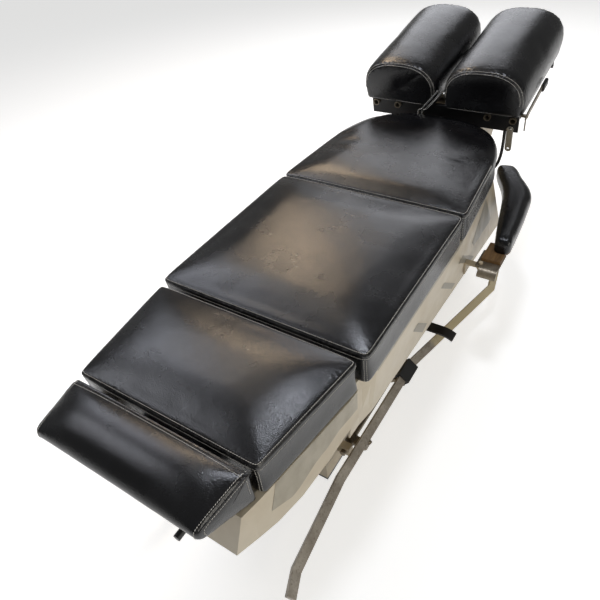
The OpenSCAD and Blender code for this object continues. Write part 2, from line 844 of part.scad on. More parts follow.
module neck_plates() {
    color(beige) for (side = [0, 1])
        along_x(side > 0 ? neck_in : -neck_in - neck_thick, 0, 0, neck_thick) neck_outline();
}

module neck_spacers() {
    color(black_steel)
        for (p = [
            [tilt_y + spacer_far, tilt_z - spacer_far_drop],
            [tilt_y + spacer_near, rail_top + spacer_near_rise]
        ])
            translate([-neck_in, p[0], p[1]]) rotate([0, 90, 0])
                cylinder(r = spacer_r, h = 2 * neck_in, $fn = round_fn);
}

module neck_cover() {
    sheet = 3;
    inset = 4;
    color(beige) along_x(seat_gap - neck_in, 0, 0, 2 * (neck_in - seat_gap))
        polygon([
            [neck_back - inset, tilt_z - cover_drop],
            [neck_back - inset, rail_top + neck_back_rise + cover_rise],
            [tilt_y + neck_sole - cover_sole_in, rail_bottom + cover_sole_rise],
            [tilt_y + neck_sole - cover_sole_in - sheet,
             rail_bottom + cover_sole_rise + cover_fold],
            [neck_back - inset - sheet, rail_top + neck_back_rise + cover_fold],
            [neck_back - inset - sheet, tilt_z - cover_drop]
        ]);
}

module tilt_bushes() {
    color(bronze) for (side = [-1, 1])
        translate([side * neck_in, tilt_y, tilt_z]) rotate([0, side * 90, 0]) difference() {
            union() {
                cylinder(r = bush_r, h = neck_thick, $fn = round_fn);
                translate([0, 0, neck_thick])
                    cylinder(r = bush_flange_r, h = bush_flange, $fn = round_fn);
            }
            translate([0, 0, -cut_over])
                cylinder(r = shaft_r + bore_gap, h = neck_thick + bush_flange + 2 * cut_over,
                    $fn = round_fn);
        }
}

// Head rest: everything is set out from the pivot, along the stored slope
arm_x = neck_in + neck_thick + bush_flange + arm_gap;
arm_thick = 6;
head_tube_r = 11;
head_tube_t = 16;
head_tube_in = 34;
head_tube_wall = 2.5;
head_tube_places = [arm_x + arm_thick + 2 * head_tube_r, head_half - head_tube_in];
end_plate = 6;
front_s = -78;
rear_in = 135;
plate_in = 17;
rear_s = head_length - rear_in;
plate_half = head_half - plate_in;
head_travel = 80;
block_long = 30;
block_runs = [33, 228];
block_places = [for (run = block_runs) front_s + run];
block_edge = 2;
block_low = 2;
head_board_rise = 18;
head_board_t = head_tube_t + head_board_rise;
head_board_thick = 12;
cushion_t = head_board_t + head_board_thick;
near_s = -106;
head_board_inset = 14;
rail_t = -12;
rail_tall = 16;
front_plate_t = -26;
front_plate_tall = 57;
rear_plate_tall = 43;
tube_proud_front = 9;
tube_proud_rear = 6;

module at_head() {
    translate([0, tilt_y, tilt_z]) rotate([head_slope, 0, 0]) children();
}

module tilt_shaft() {
    reach = arm_x + arm_thick + arm_gap;
    color(steel) translate([-reach, tilt_y, tilt_z]) rotate([0, 90, 0])
        cylinder(r = shaft_r, h = 2 * reach, $fn = round_fn);
}

module tilt_arms() {
    color(black_steel) at_head() for (side = [0, 1])
        along_x(side > 0 ? arm_x : -arm_x - arm_thick, 0, 0, arm_thick) difference() {
            union() {
                circle(r = 1.8 * shaft_r, $fn = round_fn);
                translate([front_s + end_plate, rail_t])
                    square([rear_s - front_s - end_plate, rail_tall]);
            }
            circle(r = shaft_r, $fn = round_fn);
        }
}

module head_end_plates() {
    color(black_steel) at_head() {
        difference() {
            translate([-plate_half, front_s, front_plate_t])
                cube([2 * plate_half, end_plate, front_plate_tall]);
            head_tube_set(head_tube_r, front_s - cut_over, end_plate + 2 * cut_over);
        }
        difference() {
            translate([-plate_half, rear_s, rail_t])
                cube([2 * plate_half, end_plate, rear_plate_tall]);
            head_tube_set(head_tube_r, rear_s - cut_over, end_plate + 2 * cut_over);
        }
    }
}

module head_tube_set(r, from, long) {
    for (side = [-1, 1], x = head_tube_places)
        translate([side * x, from + long, head_tube_t]) rotate([90, 0, 0])
            cylinder(r = r, h = long, $fn = round_fn);
}

module head_tubes() {
    from = front_s - tube_proud_front;
    long = rear_s + end_plate + tube_proud_rear - from;
    color(steel) at_head() difference() {
        head_tube_set(head_tube_r, from, long);
        head_tube_set(head_tube_r - head_tube_wall, from - cut_over, long + 2 * cut_over);
    }
}

module carriage_blocks() {
    x_in = head_tube_places[0] - head_tube_r - 1.5;
    x_out = head_tube_places[1] + head_tube_r + block_edge;
    color(black_steel) at_head() difference() {
        for (side = [0, 1], s = block_places)
            translate([side > 0 ? x_in : -x_out, s, block_low])
                cube([x_out - x_in, block_long, head_board_t - block_low]);
        for (s = block_places)
            head_tube_set(head_tube_r + bore_gap, s - cut_over, block_long + 2 * cut_over);
    }
}

module head_boards() {
    color(plywood) at_head() for (side = [0, 1])
        translate([side > 0 ? head_slot_half + head_board_inset : -head_half + head_board_inset,
                   near_s + head_board_inset, head_board_t])
            cube([head_half - head_slot_half - 2 * head_board_inset,
                  head_length - 2 * head_board_inset, head_board_thick]);
}

// Loaf-shaped head cushion: a D section carried along its length with soft ends
loaf_steps = 24;
loaf_side_share = 0.3;
loaf_power = 2.6;
loaf_end_shares = [[0, 0.9], [0.012, 0.965], [0.035, 0.995], [0.08, 1]];
function loaf_section(half, depth) = concat(
    [[half * 0.97, 0]],
    [for (i = [0 : loaf_steps])
        let (a = 180 * i / loaf_steps)
            [half * signed_power(cos(a), 2 / loaf_power),
             depth * (loaf_side_share + (1 - loaf_side_share) * pow(sin(a), 2 / loaf_power))]],
    [[-half * 0.97, 0]]
);
function loaf_ring(section, x, s, share, t, depth) = [
    for (i = [len(section) - 1 : -1 : 0])
        let (p = section[i])
            [x + p[0] * share, s, t + p[1] * (1 - (1 - share) * p[1] / depth)]
];

module loaf(x) {
    half = (head_half - head_slot_half) / 2;
    section = loaf_section(half, head_depth);
    ends = len(loaf_end_shares) - 1;
    stations = concat(
        loaf_end_shares,
        [[0.5, 1.008]],
        [for (i = [ends : -1 : 0]) [1 - loaf_end_shares[i][0], loaf_end_shares[i][1]]]
    );
    ring_solid([
        for (e = stations)
            loaf_ring(section, x, near_s + head_length * e[0], e[1], cushion_t, head_depth)
    ]);
}

module head_cushion_right() {
    color(vinyl) at_head() loaf((head_half + head_slot_half) / 2);
}

module head_cushion_left() {
    color(vinyl) at_head() loaf(-(head_half + head_slot_half) / 2);
}

// Round tubes that follow a bent path
cable_sides = 10;
function tangent(path, i) =
    unit2(path[min(i + 1, len(path) - 1)] - path[max(i - 1, 0)]);
function tube_ring(path, i, r, sides) =
    let (t = tangent(path, i), side = [0, 1, 0], u = unit2(side - t * (side * t)),
         v = cross(t, u))
        [for (k = [0 : sides - 1])
            path[i] + u * r * cos(360 * k / sides) + v * r * sin(360 * k / sides)];

// Rods that hold the face paper, between the near ends of the head cushions
rod_thin_r = 3;
rod_bends = [[-78, -12], [-74, 10], [-50, 34], [4, 105]];
rod_reaches = [6, 6, 32, 40];
rod_apart = 13;
rod_clip = 12;
clip_long = 8;
clip_tall = 6;
clip_low = 4;

module paper_rods() {
    color(steel) at_head() {
        for (k = [0, 1]) {
            path = [for (i = [0 : len(rod_bends) - 1])
                [rod_bends[i][0] + k * rod_apart, front_s - rod_reaches[i], rod_bends[i][1]]];
            ring_solid([for (i = [0 : len(path) - 1])
                tube_ring(path, i, rod_thin_r, cable_sides)]);
        }
        translate([rod_bends[0][0] - rod_clip / 2, front_s - clip_long, rod_bends[0][1] - clip_low])
            cube([rod_apart + rod_clip, clip_long - seat_gap, clip_tall]);
    }
}

// Lever along the right head cushion, with its grip and release rod
lever_out = 3;
lever_x = head_half + lever_out;
lever_plate = 4;
lever_in_from_end = 20;
lever_rise = 6;
lever_s = near_s + lever_in_from_end;
lever_t = head_board_t + lever_rise;
lever_long = 150;
lever_tall = 18;
grip_long = 40;
grip_lap = 6;
grip_over = 3;
grip_slot = 7;
lever_heel = 12;
lever_heel_low = 5;
lever_toe = 6;
lever_toe_rise = 2;
lever_near = 10;
lever_pin_long = 2;
lever_stub_r = 5;
release_r = 2;
release_long = 44;
release_in = 8;

module head_lever() {
    color(steel) at_head() {
        along_x(lever_x, 0, 0, lever_plate) polygon([
            [lever_s - lever_heel, lever_t - lever_heel_low],
            [lever_s - lever_toe, lever_t - lever_tall / 2 + lever_toe_rise],
            [lever_s + lever_long, lever_t], [lever_s + lever_long, lever_t + lever_tall],
            [lever_s + lever_near, lever_t + lever_tall / 2],
            [lever_s - lever_near, lever_t + lever_toe]
        ]);
        translate([head_half - head_board_inset + seat_gap, lever_s, lever_t])
            rotate([0, 90, 0])
                cylinder(r = lever_stub_r, h = lever_x + lever_plate + lever_pin_long - head_half
                    + head_board_inset - seat_gap, $fn = round_fn);
        translate([lever_x + lever_plate / 2, lever_s - release_in, lever_t - release_long])
            cylinder(r = release_r, h = release_long, $fn = round_fn);
    }
}

module head_lever_grip() {
    wide = 11;
    lever_play = 1;
    color(black_steel) at_head() difference() {
        translate([lever_x - lever_play, lever_s + lever_long - grip_lap, lever_t - grip_over]) hull()
            for (t = [wide / 2, lever_tall + 2 * grip_over - wide / 2])
                translate([wide / 2, 0, t]) rotate([-90, 0, 0])
                    cylinder(r = wide / 2, h = grip_long, $fn = 32);
        along_x(lever_x - seat_gap / 2, 0, 0, lever_plate + seat_gap)
            translate([lever_s + lever_long - grip_slot, lever_t - lever_play])
                square([grip_slot + seat_gap, lever_tall + 2 * lever_play]);
    }
}

// Flat link that hangs from the head frame
link_in = 22;
link_pin_proud = 5;
link_x = plate_half - link_in;
link_long = 70;
link_t = -13;
link_half = 10;
link_gap = 1;
link_thick = 5;
link_pin_r = 4;

module hanging_link() {
    color(steel) at_head() {
        translate([link_x, front_s - link_gap, link_t]) rotate([90, 0, 0]) linear_extrude(link_thick)
            difference() {
                union() {
                    circle(r = link_half, $fn = round_fn);
                    translate([-link_half, -link_long]) square([2 * link_half, link_long]);
                    translate([0, -link_long]) circle(r = link_half, $fn = round_fn);
                }
                translate([0, -link_long]) circle(r = link_pin_r, $fn = round_fn);
            }
        translate([link_x, front_s - seat_gap, link_t]) rotate([90, 0, 0])
            cylinder(r = link_pin_r, h = link_thick + link_pin_proud, $fn = round_fn);
    }
}

// Control cable from the neck into the bow of the shell
cable_r = 5;
cable_points = [
    [188, 600, 530], [188, 600, 515], [189, 599, 490], [190, 597, 460], [190, 595, 430],
    [188, 592, 405], [183, 590, 384], [174, 588, 367], [162, 586, 355], [150, 585, 350],
    [140, 585, 350]
];
module control_cable() {
    color(black_steel)
        ring_solid([for (i = [0 : len(cable_points) - 1])
            tube_ring(cable_points, i, cable_r, cable_sides)]);
}

gland_lap = 1;
gland_foot = 6;
gland_r = 9;
gland_long = 18;
module cable_glands() {
    top = cable_points[0];
    end = cable_points[len(cable_points) - 1];
    color(black_steel) {
        translate([top[0], top[1], top[2]]) cylinder(r = gland_r, h = gland_long, $fn = round_fn);
        translate([neck_in + neck_thick, top[1] - gland_r, top[2]])
            cube([top[0] - neck_in - neck_thick - gland_r + gland_lap, 2 * gland_r, gland_foot]);
        translate([neck_in + neck_thick, end[1], end[2]]) rotate([0, 90, 0])
            cylinder(r = gland_r, h = end[0] - neck_in - neck_thick, $fn = round_fn);
    }
}

// Arm rests: pad, board and swivel plate on a bracket at the shell's side
pivot_out = 47;
pivot_x = shell_half + pivot_out;
pivot_y = 108;
arm_board_thick = 10;
swivel_thick = 6;
pad_low = arm_height - arm_depth;
arm_board_low = pad_low - arm_board_thick;
swivel_low = arm_board_low - swivel_thick;
pivot_r = 6;
pad_wide = 155;
pad_long = 428;
pad_inner = 94;
pad_foot = 48;
pad_shares = [
    [0.729, 0.009], [0.781, 0], [0.91, 0], [0.974, 0.012], [1, 0.042], [0.987, 0.185],
    [0.961, 0.336], [0.929, 0.5], [0.89, 0.617], [0.813, 0.692], [0.71, 0.757], [0.548, 0.846],
    [0.4, 0.925], [0.303, 0.97], [0.213, 0.993], [0.123, 1], [0.039, 0.986], [0, 0.953],
    [0.032, 0.902], [0.135, 0.822], [0.252, 0.743], [0.355, 0.664], [0.432, 0.575],
    [0.484, 0.491], [0.529, 0.395], [0.574, 0.29], [0.626, 0.173], [0.684, 0.061]
];
function pad_place(share) =
    [pivot_x - pad_inner + pad_wide * share[0], pivot_y + pad_foot + pad_long * share[1]];
pad_outline = [for (share = pad_shares) pad_place(share)];
pad_mid_share = [0.677, 0.458];
pad_mid = pad_place(pad_mid_share);
pad_rings = [
    [0.96, 0], [0.99, 0.1], [0.975, 0.5], [0.995, 0.9], [1, 1]
];
pad_crown = 8;

module arm_pad() {
    ring_solid(concat(
        [for (r = pad_rings)
            [for (p = pad_outline)
                [pad_mid[0] + (p[0] - pad_mid[0]) * r[0], pad_mid[1] + (p[1] - pad_mid[1]) * r[0],
                 pad_low + arm_depth * r[1]]]],
        [for (s = ring_shares)
            [for (p = pad_outline)
                [pad_mid[0] + (p[0] - pad_mid[0]) * s, pad_mid[1] + (p[1] - pad_mid[1]) * s,
                 arm_height + pad_crown * (1 - pow(s, crown_power))]]]
    ));
}

module arm_board() {
    keep = 0.93;
    board_in = 4;
    board_from = 12;
    board_wide = 54;
    board_long = 80;
    translate([0, 0, arm_board_low]) linear_extrude(arm_board_thick) {
        polygon([for (p = pad_outline)
            [pad_mid[0] + (p[0] - pad_mid[0]) * keep, pad_mid[1] + (p[1] - pad_mid[1]) * keep]]);
        translate([pivot_x - board_in, pivot_y + board_from]) square([board_wide, board_long]);
    }
}

module swivel_plate() {
    edge = 12;
    x_from = pivot_x - edge;
    long = 64;
    reach = 76;
    lip_r = 22;
    lip_long = 52;
    difference() {
        union() {
            translate([x_from, pivot_y - edge, swivel_low])
                cube([long, reach, swivel_thick - seat_gap]);
            along_x(x_from + long - lip_long, pivot_y - edge,
                swivel_low + swivel_thick - seat_gap - lip_r, lip_long)
                intersection() {
                    difference() {
                        circle(r = lip_r, $fn = round_fn);
                        circle(r = lip_r - swivel_thick + seat_gap, $fn = round_fn);
                    }
                    translate([-lip_r, 0]) square([lip_r, lip_r]);
                }
        }
        translate([pivot_x, pivot_y, swivel_low - cut_over])
            cylinder(r = pivot_r + bore_gap, h = swivel_thick + 2 * cut_over, $fn = round_fn);
    }
}

module armrest_pad_right() {
    color(vinyl) arm_pad();
}

module armrest_pad_left() {
    color(vinyl) mirror([1, 0, 0]) arm_pad();
}

module armrest_board_right() {
    color(brown_board) arm_board();
}

module armrest_board_left() {
    color(brown_board) mirror([1, 0, 0]) arm_board();
}

module armrest_plate_right() {
    color(steel) swivel_plate();
}

module armrest_plate_left() {
    color(steel) mirror([1, 0, 0]) swivel_plate();
}

module armrest_brackets() {
    plate = 5;
    tall = 40;
    wide = 20;
    top = swivel_low - seat_gap;
    x_wall = max(shell_side(pivot_y, top), shell_side(pivot_y, top - tall)) + cut_over;
    over = 10;
    nut = 8;
    pin_top = 4;
    color(beige) for (side = [0, 1]) mirror([side, 0, 0]) {
        translate([x_wall, pivot_y - wide / 2, top - tall]) cube([plate, wide, tall]);
        translate([x_wall, pivot_y - wide / 2, top - plate])
            cube([pivot_x + over - x_wall, wide, plate]);
        translate([pivot_x, pivot_y, top - plate - nut])
            cylinder(r = pivot_r, h = nut + plate + seat_gap + swivel_thick + pin_top, $fn = round_fn);
        translate([pivot_x, pivot_y, top - plate - nut])
            cylinder(r = 1.7 * pivot_r, h = nut, $fn = 6);
    }
}

// Foot bars: a leaning flat bar carried along its bends, a sleeve and a rocker
bar_out = 296;
bar_foot_end = 845;
bar_shares = [
    [0.821, -1], [0.75, -0.935], [0.672, -0.653], [0.676, -0.148], [1, 0.346], [0.919, 0.509]
];
bar_path = [for (share = bar_shares) [bar_out * share[0], bar_foot_end * share[1]]];
bar_run_share = 0.9;
shaft_out = 21;
shaft_drop = 32;
shaft_x = pedestal_half + shaft_out;
shaft_z = bar_height - shaft_drop;
rocker_r = 8;
sleeve_from = -195;
sleeve_long = 67;
sleeve_wall = 7;
rocker_arms = [-430, -185];
rocker_arm_long = 25;
rocker_foot = 40;
rocker_over = 105;
rocker_boss = 6;
rocker_half = 6;
pad_in = 8;
pad_across = 18;
bolt_r = 7;

bar_drop = (bar_width * sin(bar_lean) + bar_thickness * cos(bar_lean)) / 2;

function bar_ring(i) =
    let (p = bar_path[i], t = tangent(bar_path, i), out = [t[1], -t[0]],
         a = bar_width / 2, b = bar_thickness / 2)
        [for (c = [[1, 1], [1, -1], [-1, -1], [-1, 1]])
            let (w = c[0] * a * cos(bar_lean) + c[1] * b * sin(bar_lean),
                 h = -c[0] * a * sin(bar_lean) + c[1] * b * cos(bar_lean))
                [p[0] + out[0] * w, p[1] + out[1] * w, bar_height + h]];

module bar() {
    ring_solid([for (i = [0 : len(bar_path) - 1]) bar_ring(i)]);
}

module bar_section(grow) {
    rotate(-bar_lean) square([bar_width + 2 * grow, bar_thickness + 2 * grow], center = true);
}

module sleeve() {
    x = bar_path[2][0] + (bar_path[3][0] - bar_path[2][0]) * bar_run_share;
    translate([x, sleeve_from + sleeve_long, bar_height]) rotate([90, 0, 0])
        linear_extrude(sleeve_long) difference() {
            bar_section(sleeve_wall);
            bar_section(seat_gap);
        }
}

module rocker() {
    x_bar = bar_path[2][0];
    translate([shaft_x, rocker_arms[0] - rocker_foot, shaft_z]) rotate([-90, 0, 0])
        cylinder(r = rocker_r, h = rocker_arms[1] - rocker_arms[0] + rocker_over, $fn = round_fn);
    for (k = [0, 1]) {
        translate([shaft_x, rocker_arms[k], shaft_z]) rotate([-90, 0, 0])
            cylinder(r = rocker_r + rocker_boss, h = rocker_arm_long, $fn = round_fn);
        translate([shaft_x, rocker_arms[k], shaft_z - rocker_half])
            cube([x_bar + rocker_half - shaft_x, rocker_arm_long, 2 * rocker_half]);
    }
    translate([x_bar - pad_in, rocker_arms[0], shaft_z])
        cube([pad_across, rocker_arm_long, bar_height - bar_drop - seat_gap - shaft_z]);
    translate([x_bar, rocker_arms[0] + rocker_arm_long / 2, bar_height])
        rotate([0, 90 + bar_lean, 0]) translate([0, 0, bar_width / 2 + seat_gap])
            cylinder(r = bolt_r, h = bolt_r, $fn = round_fn);
}

module foot_bar_right() {
    color(steel) bar();
}

module foot_bar_left() {
    color(steel) mirror([1, 0, 0]) bar();
}

module bar_sleeve_right() {
    color(black_steel) sleeve();
}

module bar_sleeve_left() {
    color(black_steel) mirror([1, 0, 0]) sleeve();
}

module bar_rocker_right() {
    color(steel) rocker();
}

module bar_rocker_left() {
    color(steel) mirror([1, 0, 0]) rocker();
}

// Bearings on the pedestal's sides for the rockers, and the pedal's pivot stub
bearing_long = 20;
bearing_foot = 30;
bearing_head = 38;
bearing_places = [rocker_arms[0] - bearing_foot, rocker_arms[1] + bearing_head];
bearing_half = 15;
pedal_y = -100;
pedal_z = 152;
pedal_pin_r = 8;
pedal_x = 178;
pedal_plate = 10;
pedal_pin_proud = 8;
pedal_boss = 6;

module pedestal_brackets() {
    color(black_steel) {
        for (side = [0, 1], y = bearing_places) mirror([side, 0, 0])
            difference() {
                translate([pedestal_half, y, shaft_z - bearing_half])
                    cube([shaft_x + bearing_half - pedestal_half, bearing_long,
                        2 * bearing_half]);
                translate([shaft_x, y - cut_over, shaft_z]) rotate([-90, 0, 0])
                    cylinder(r = rocker_r + bore_gap, h = bearing_long + 2 * cut_over,
                        $fn = round_fn);
            }
        translate([pedestal_half, pedal_y, pedal_z]) rotate([0, 90, 0]) {
            cylinder(r = pedal_pin_r, h = pedal_x + pedal_plate + pedal_pin_proud - pedestal_half,
                $fn = round_fn);
            cylinder(r = 2.2 * pedal_pin_r, h = pedal_boss, $fn = round_fn);
        }
    }
}

module side_pedal() {
    arm_long = 106;
    tongue_wide = 34;
    tongue_from = pedal_x + pedal_plate;
    bend_r = 80;
    tongue_thick = 6;
    tongue_flat = 54;
    hub_r = 16;
    hub_low = 14;
    tip_low = 10;
    tip_top = 12;
    color(black_steel) {
        along_x(pedal_x, pedal_y, pedal_z, pedal_plate) difference() {
            union() {
                circle(r = hub_r, $fn = round_fn);
                polygon([
                    [0, -hub_low], [arm_long, -tip_low], [arm_long, tip_top], [0, hub_r]
                ]);
            }
            circle(r = pedal_pin_r + bore_gap, $fn = round_fn);
        }
        translate([tongue_from - cut_over, pedal_y + arm_long, pedal_z]) rotate([90, 0, 0])
            linear_extrude(tongue_wide) {
                square([tongue_flat, tongue_thick]);
                translate([tongue_flat, tongue_thick - bend_r]) intersection() {
                    difference() {
                        circle(r = bend_r, $fn = 2 * round_fn);
                        circle(r = bend_r - tongue_thick, $fn = 2 * round_fn);
                    }
                    polygon([[0, 0], [0, 2 * bend_r], [bend_r * 0.62, bend_r]]);
                }
            }
    }
}

base_plate();
pedestal();
bed_frame();
chest_board();
chest_cushion();
shell_right();
shell_left();
shell_front();
shell_brackets();
neck_plates();
neck_spacers();
neck_cover();
tilt_bushes();
actuator_bracket();
pedestal_brackets();
armrest_brackets();
control_cable();
cable_glands();
pelvic_board();
pelvic_cushion();
drop_posts();
leg_frame();
leg_pins();
leg_board();
leg_cushion();
leg_shell();
foot_board();
foot_cushion();
foot_tubes();
foot_bracket();
foot_lever();
actuator_tube();
actuator_motor();
actuator_rod();
tilt_shaft();
tilt_arms();
head_end_plates();
head_tubes();
hanging_link();
carriage_blocks();
head_boards();
head_cushion_right();
head_cushion_left();
paper_rods();
head_lever();
head_lever_grip();
armrest_pad_right();
armrest_board_right();
armrest_plate_right();
armrest_pad_left();
armrest_board_left();
armrest_plate_left();
foot_bar_right();
bar_sleeve_right();
bar_rocker_right();
foot_bar_left();
bar_sleeve_left();
bar_rocker_left();
side_pedal();
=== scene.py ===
"""Looks for the chiropractic table: upholstery, shells, steelwork, finishes, light and camera.

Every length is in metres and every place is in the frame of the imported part: +Z up, +Y towards
the head rest, +X to the right of a patient who lies face down.
"""

import json
import logging
import math
from dataclasses import dataclass
from enum import Enum
from typing import Dict, List, Optional, Sequence, Tuple

import bpy
import numpy as np
from mathutils import Matrix, Vector

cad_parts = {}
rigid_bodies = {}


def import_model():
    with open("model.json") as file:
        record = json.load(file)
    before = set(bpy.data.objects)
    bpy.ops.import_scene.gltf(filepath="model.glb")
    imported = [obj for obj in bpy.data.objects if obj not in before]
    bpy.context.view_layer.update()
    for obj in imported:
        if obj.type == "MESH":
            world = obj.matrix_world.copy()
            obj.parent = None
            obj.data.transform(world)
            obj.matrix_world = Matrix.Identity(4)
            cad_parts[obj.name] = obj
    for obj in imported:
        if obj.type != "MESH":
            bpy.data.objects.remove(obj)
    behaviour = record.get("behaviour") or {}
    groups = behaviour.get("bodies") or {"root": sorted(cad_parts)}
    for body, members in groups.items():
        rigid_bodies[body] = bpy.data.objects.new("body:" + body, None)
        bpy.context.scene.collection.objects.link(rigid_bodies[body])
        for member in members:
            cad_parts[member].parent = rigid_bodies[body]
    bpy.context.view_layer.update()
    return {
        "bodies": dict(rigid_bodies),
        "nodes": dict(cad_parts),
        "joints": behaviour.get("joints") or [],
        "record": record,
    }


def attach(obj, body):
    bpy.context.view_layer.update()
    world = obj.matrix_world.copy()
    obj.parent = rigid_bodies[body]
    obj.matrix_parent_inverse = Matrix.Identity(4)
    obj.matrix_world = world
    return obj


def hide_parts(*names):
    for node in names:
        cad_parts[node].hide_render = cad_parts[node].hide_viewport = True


LOG = logging.getLogger("table")
MM = 0.001
# The distance from a seam that is given to points with no seam near them
FAR = 0.08
Array = np.ndarray
Socket = bpy.types.NodeSocket


class Side(Enum):
    """The two sides of the table, with the sign of their X."""

    RIGHT = 1
    LEFT = -1


def linear(hex_code: str) -> Tuple[float, float, float, float]:
    """Turns an sRGB hex colour into Blender's linear colour.

    Args:
        hex_code: six hex digits, such as "c8b9a0".

    Returns:
        Linear red, green, blue and an alpha of 1.
    """
    parts = [int(hex_code[i:i + 2], 16) / 255 for i in (0, 2, 4)]
    lin = [p / 12.92 if p <= 0.04045 else ((p + 0.055) / 1.055) ** 2.4 for p in parts]
    return lin[0], lin[1], lin[2], 1.0


def per(size_mm: float) -> float:
    """Scale of a pattern on Object coordinates whose features are this many millimetres."""
    return 1000.0 / size_mm


class Shade:
    """One node material under way; every node comes in through add()."""

    def __init__(self, name: str) -> None:
        """Makes a node material with a Principled shader and its Object coordinates.

        Args:
            name: the material's name.
        """
        self.material = bpy.data.materials.new(name)
        self.material.use_nodes = True
        self.tree = self.material.node_tree
        self.shader = self.tree.nodes["Principled BSDF"]
        self.place = self.add("ShaderNodeTexCoord").outputs["Object"]

    def add(self, kind: str, inputs: Optional[Dict[object, object]] = None,
            **settings: object) -> bpy.types.Node:
        """Adds a node with its settings and links.

        Args:
            kind: the node's Blender type name.
            inputs: sockets by name or number, each given a socket to link, a hex colour or a
                plain value.
            settings: properties of the node.

        Returns:
            The new node.
        """
        node = self.tree.nodes.new(kind)
        for key, value in settings.items():
            setattr(node, key, value)
        for key, value in (inputs or {}).items():
            if isinstance(value, Socket):
                self.tree.links.new(value, node.inputs[key])
            else:
                node.inputs[key].default_value = linear(value) if isinstance(value, str) else value
        return node

    def patches(self, size: float, low: float, high: float, least: float = 0.0,
                most: float = 1.0, place: Optional[Socket] = None, **noise: float) -> Socket:
        """Adds an uneven pattern of patches.

        Args:
            size: the patches' size in real millimetres.
            low: the noise level up to which the pattern stays at its least.
            high: the noise level from which it stays at its most.
            least: the value between the patches.
            most: the value on them.
            place: coordinates, where they aren't the plain Object ones.
            noise: Detail or Roughness of the noise.

        Returns:
            The pattern's value.
        """
        fac = self.add("ShaderNodeTexNoise", {"Vector": place or self.place, "Scale": per(size),
                                              **noise}).outputs["Fac"]
        return self.add("ShaderNodeMapRange", {
            "Value": fac, "From Min": low, "From Max": high, "To Min": least, "To Max": most}
                        ).outputs["Result"]

    def coats(self, tone: object, *coats: Tuple[Socket, str]) -> Socket:
        """Lays colours over one another.

        Args:
            tone: the colour underneath, a hex code or a socket.
            coats: pairs of a share and a hex colour, from the lowest up.

        Returns:
            The colour.
        """
        for share, colour in coats:
            tone = self.add("ShaderNodeMix", {0: share, 6: tone, 7: colour}, data_type="RGBA"
                            ).outputs[2]
        return tone

    def relief(self, height: Socket, depth: float, strength: float, edge: float = 0.0) -> Socket:
        """Adds a fine relief, over edges softened by a small radius.

        Args:
            height: the relief's pattern.
            depth: the relief's depth in metres.
            strength: how much of it shows.
            edge: the edges' radius in millimetres, or 0 to leave them sharp.

        Returns:
            The normal.
        """
        bump = {"Height": height, "Distance": depth, "Strength": strength}
        if edge > 0:
            bump["Normal"] = self.add("ShaderNodeBevel", {"Radius": edge * MM}, samples=4
                                      ).outputs["Normal"]
        return self.add("ShaderNodeBump", bump).outputs["Normal"]

    def finish(self, plain: Dict[str, float], **linked: Socket) -> bpy.types.Material:
        """Sets plain values on the shader's own sockets, links the rest, returns the material.

        Args:
            plain: values that are the same all over, by socket name.
            linked: sockets for Base_Color, Roughness, Normal, Metallic.

        Returns:
            The finished material.
        """
        for key, value in plain.items():
            self.shader.inputs[key].default_value = value
        for key, socket in linked.items():
            self.tree.links.new(socket, self.shader.inputs[key.replace("_", " ")])
        return self.material


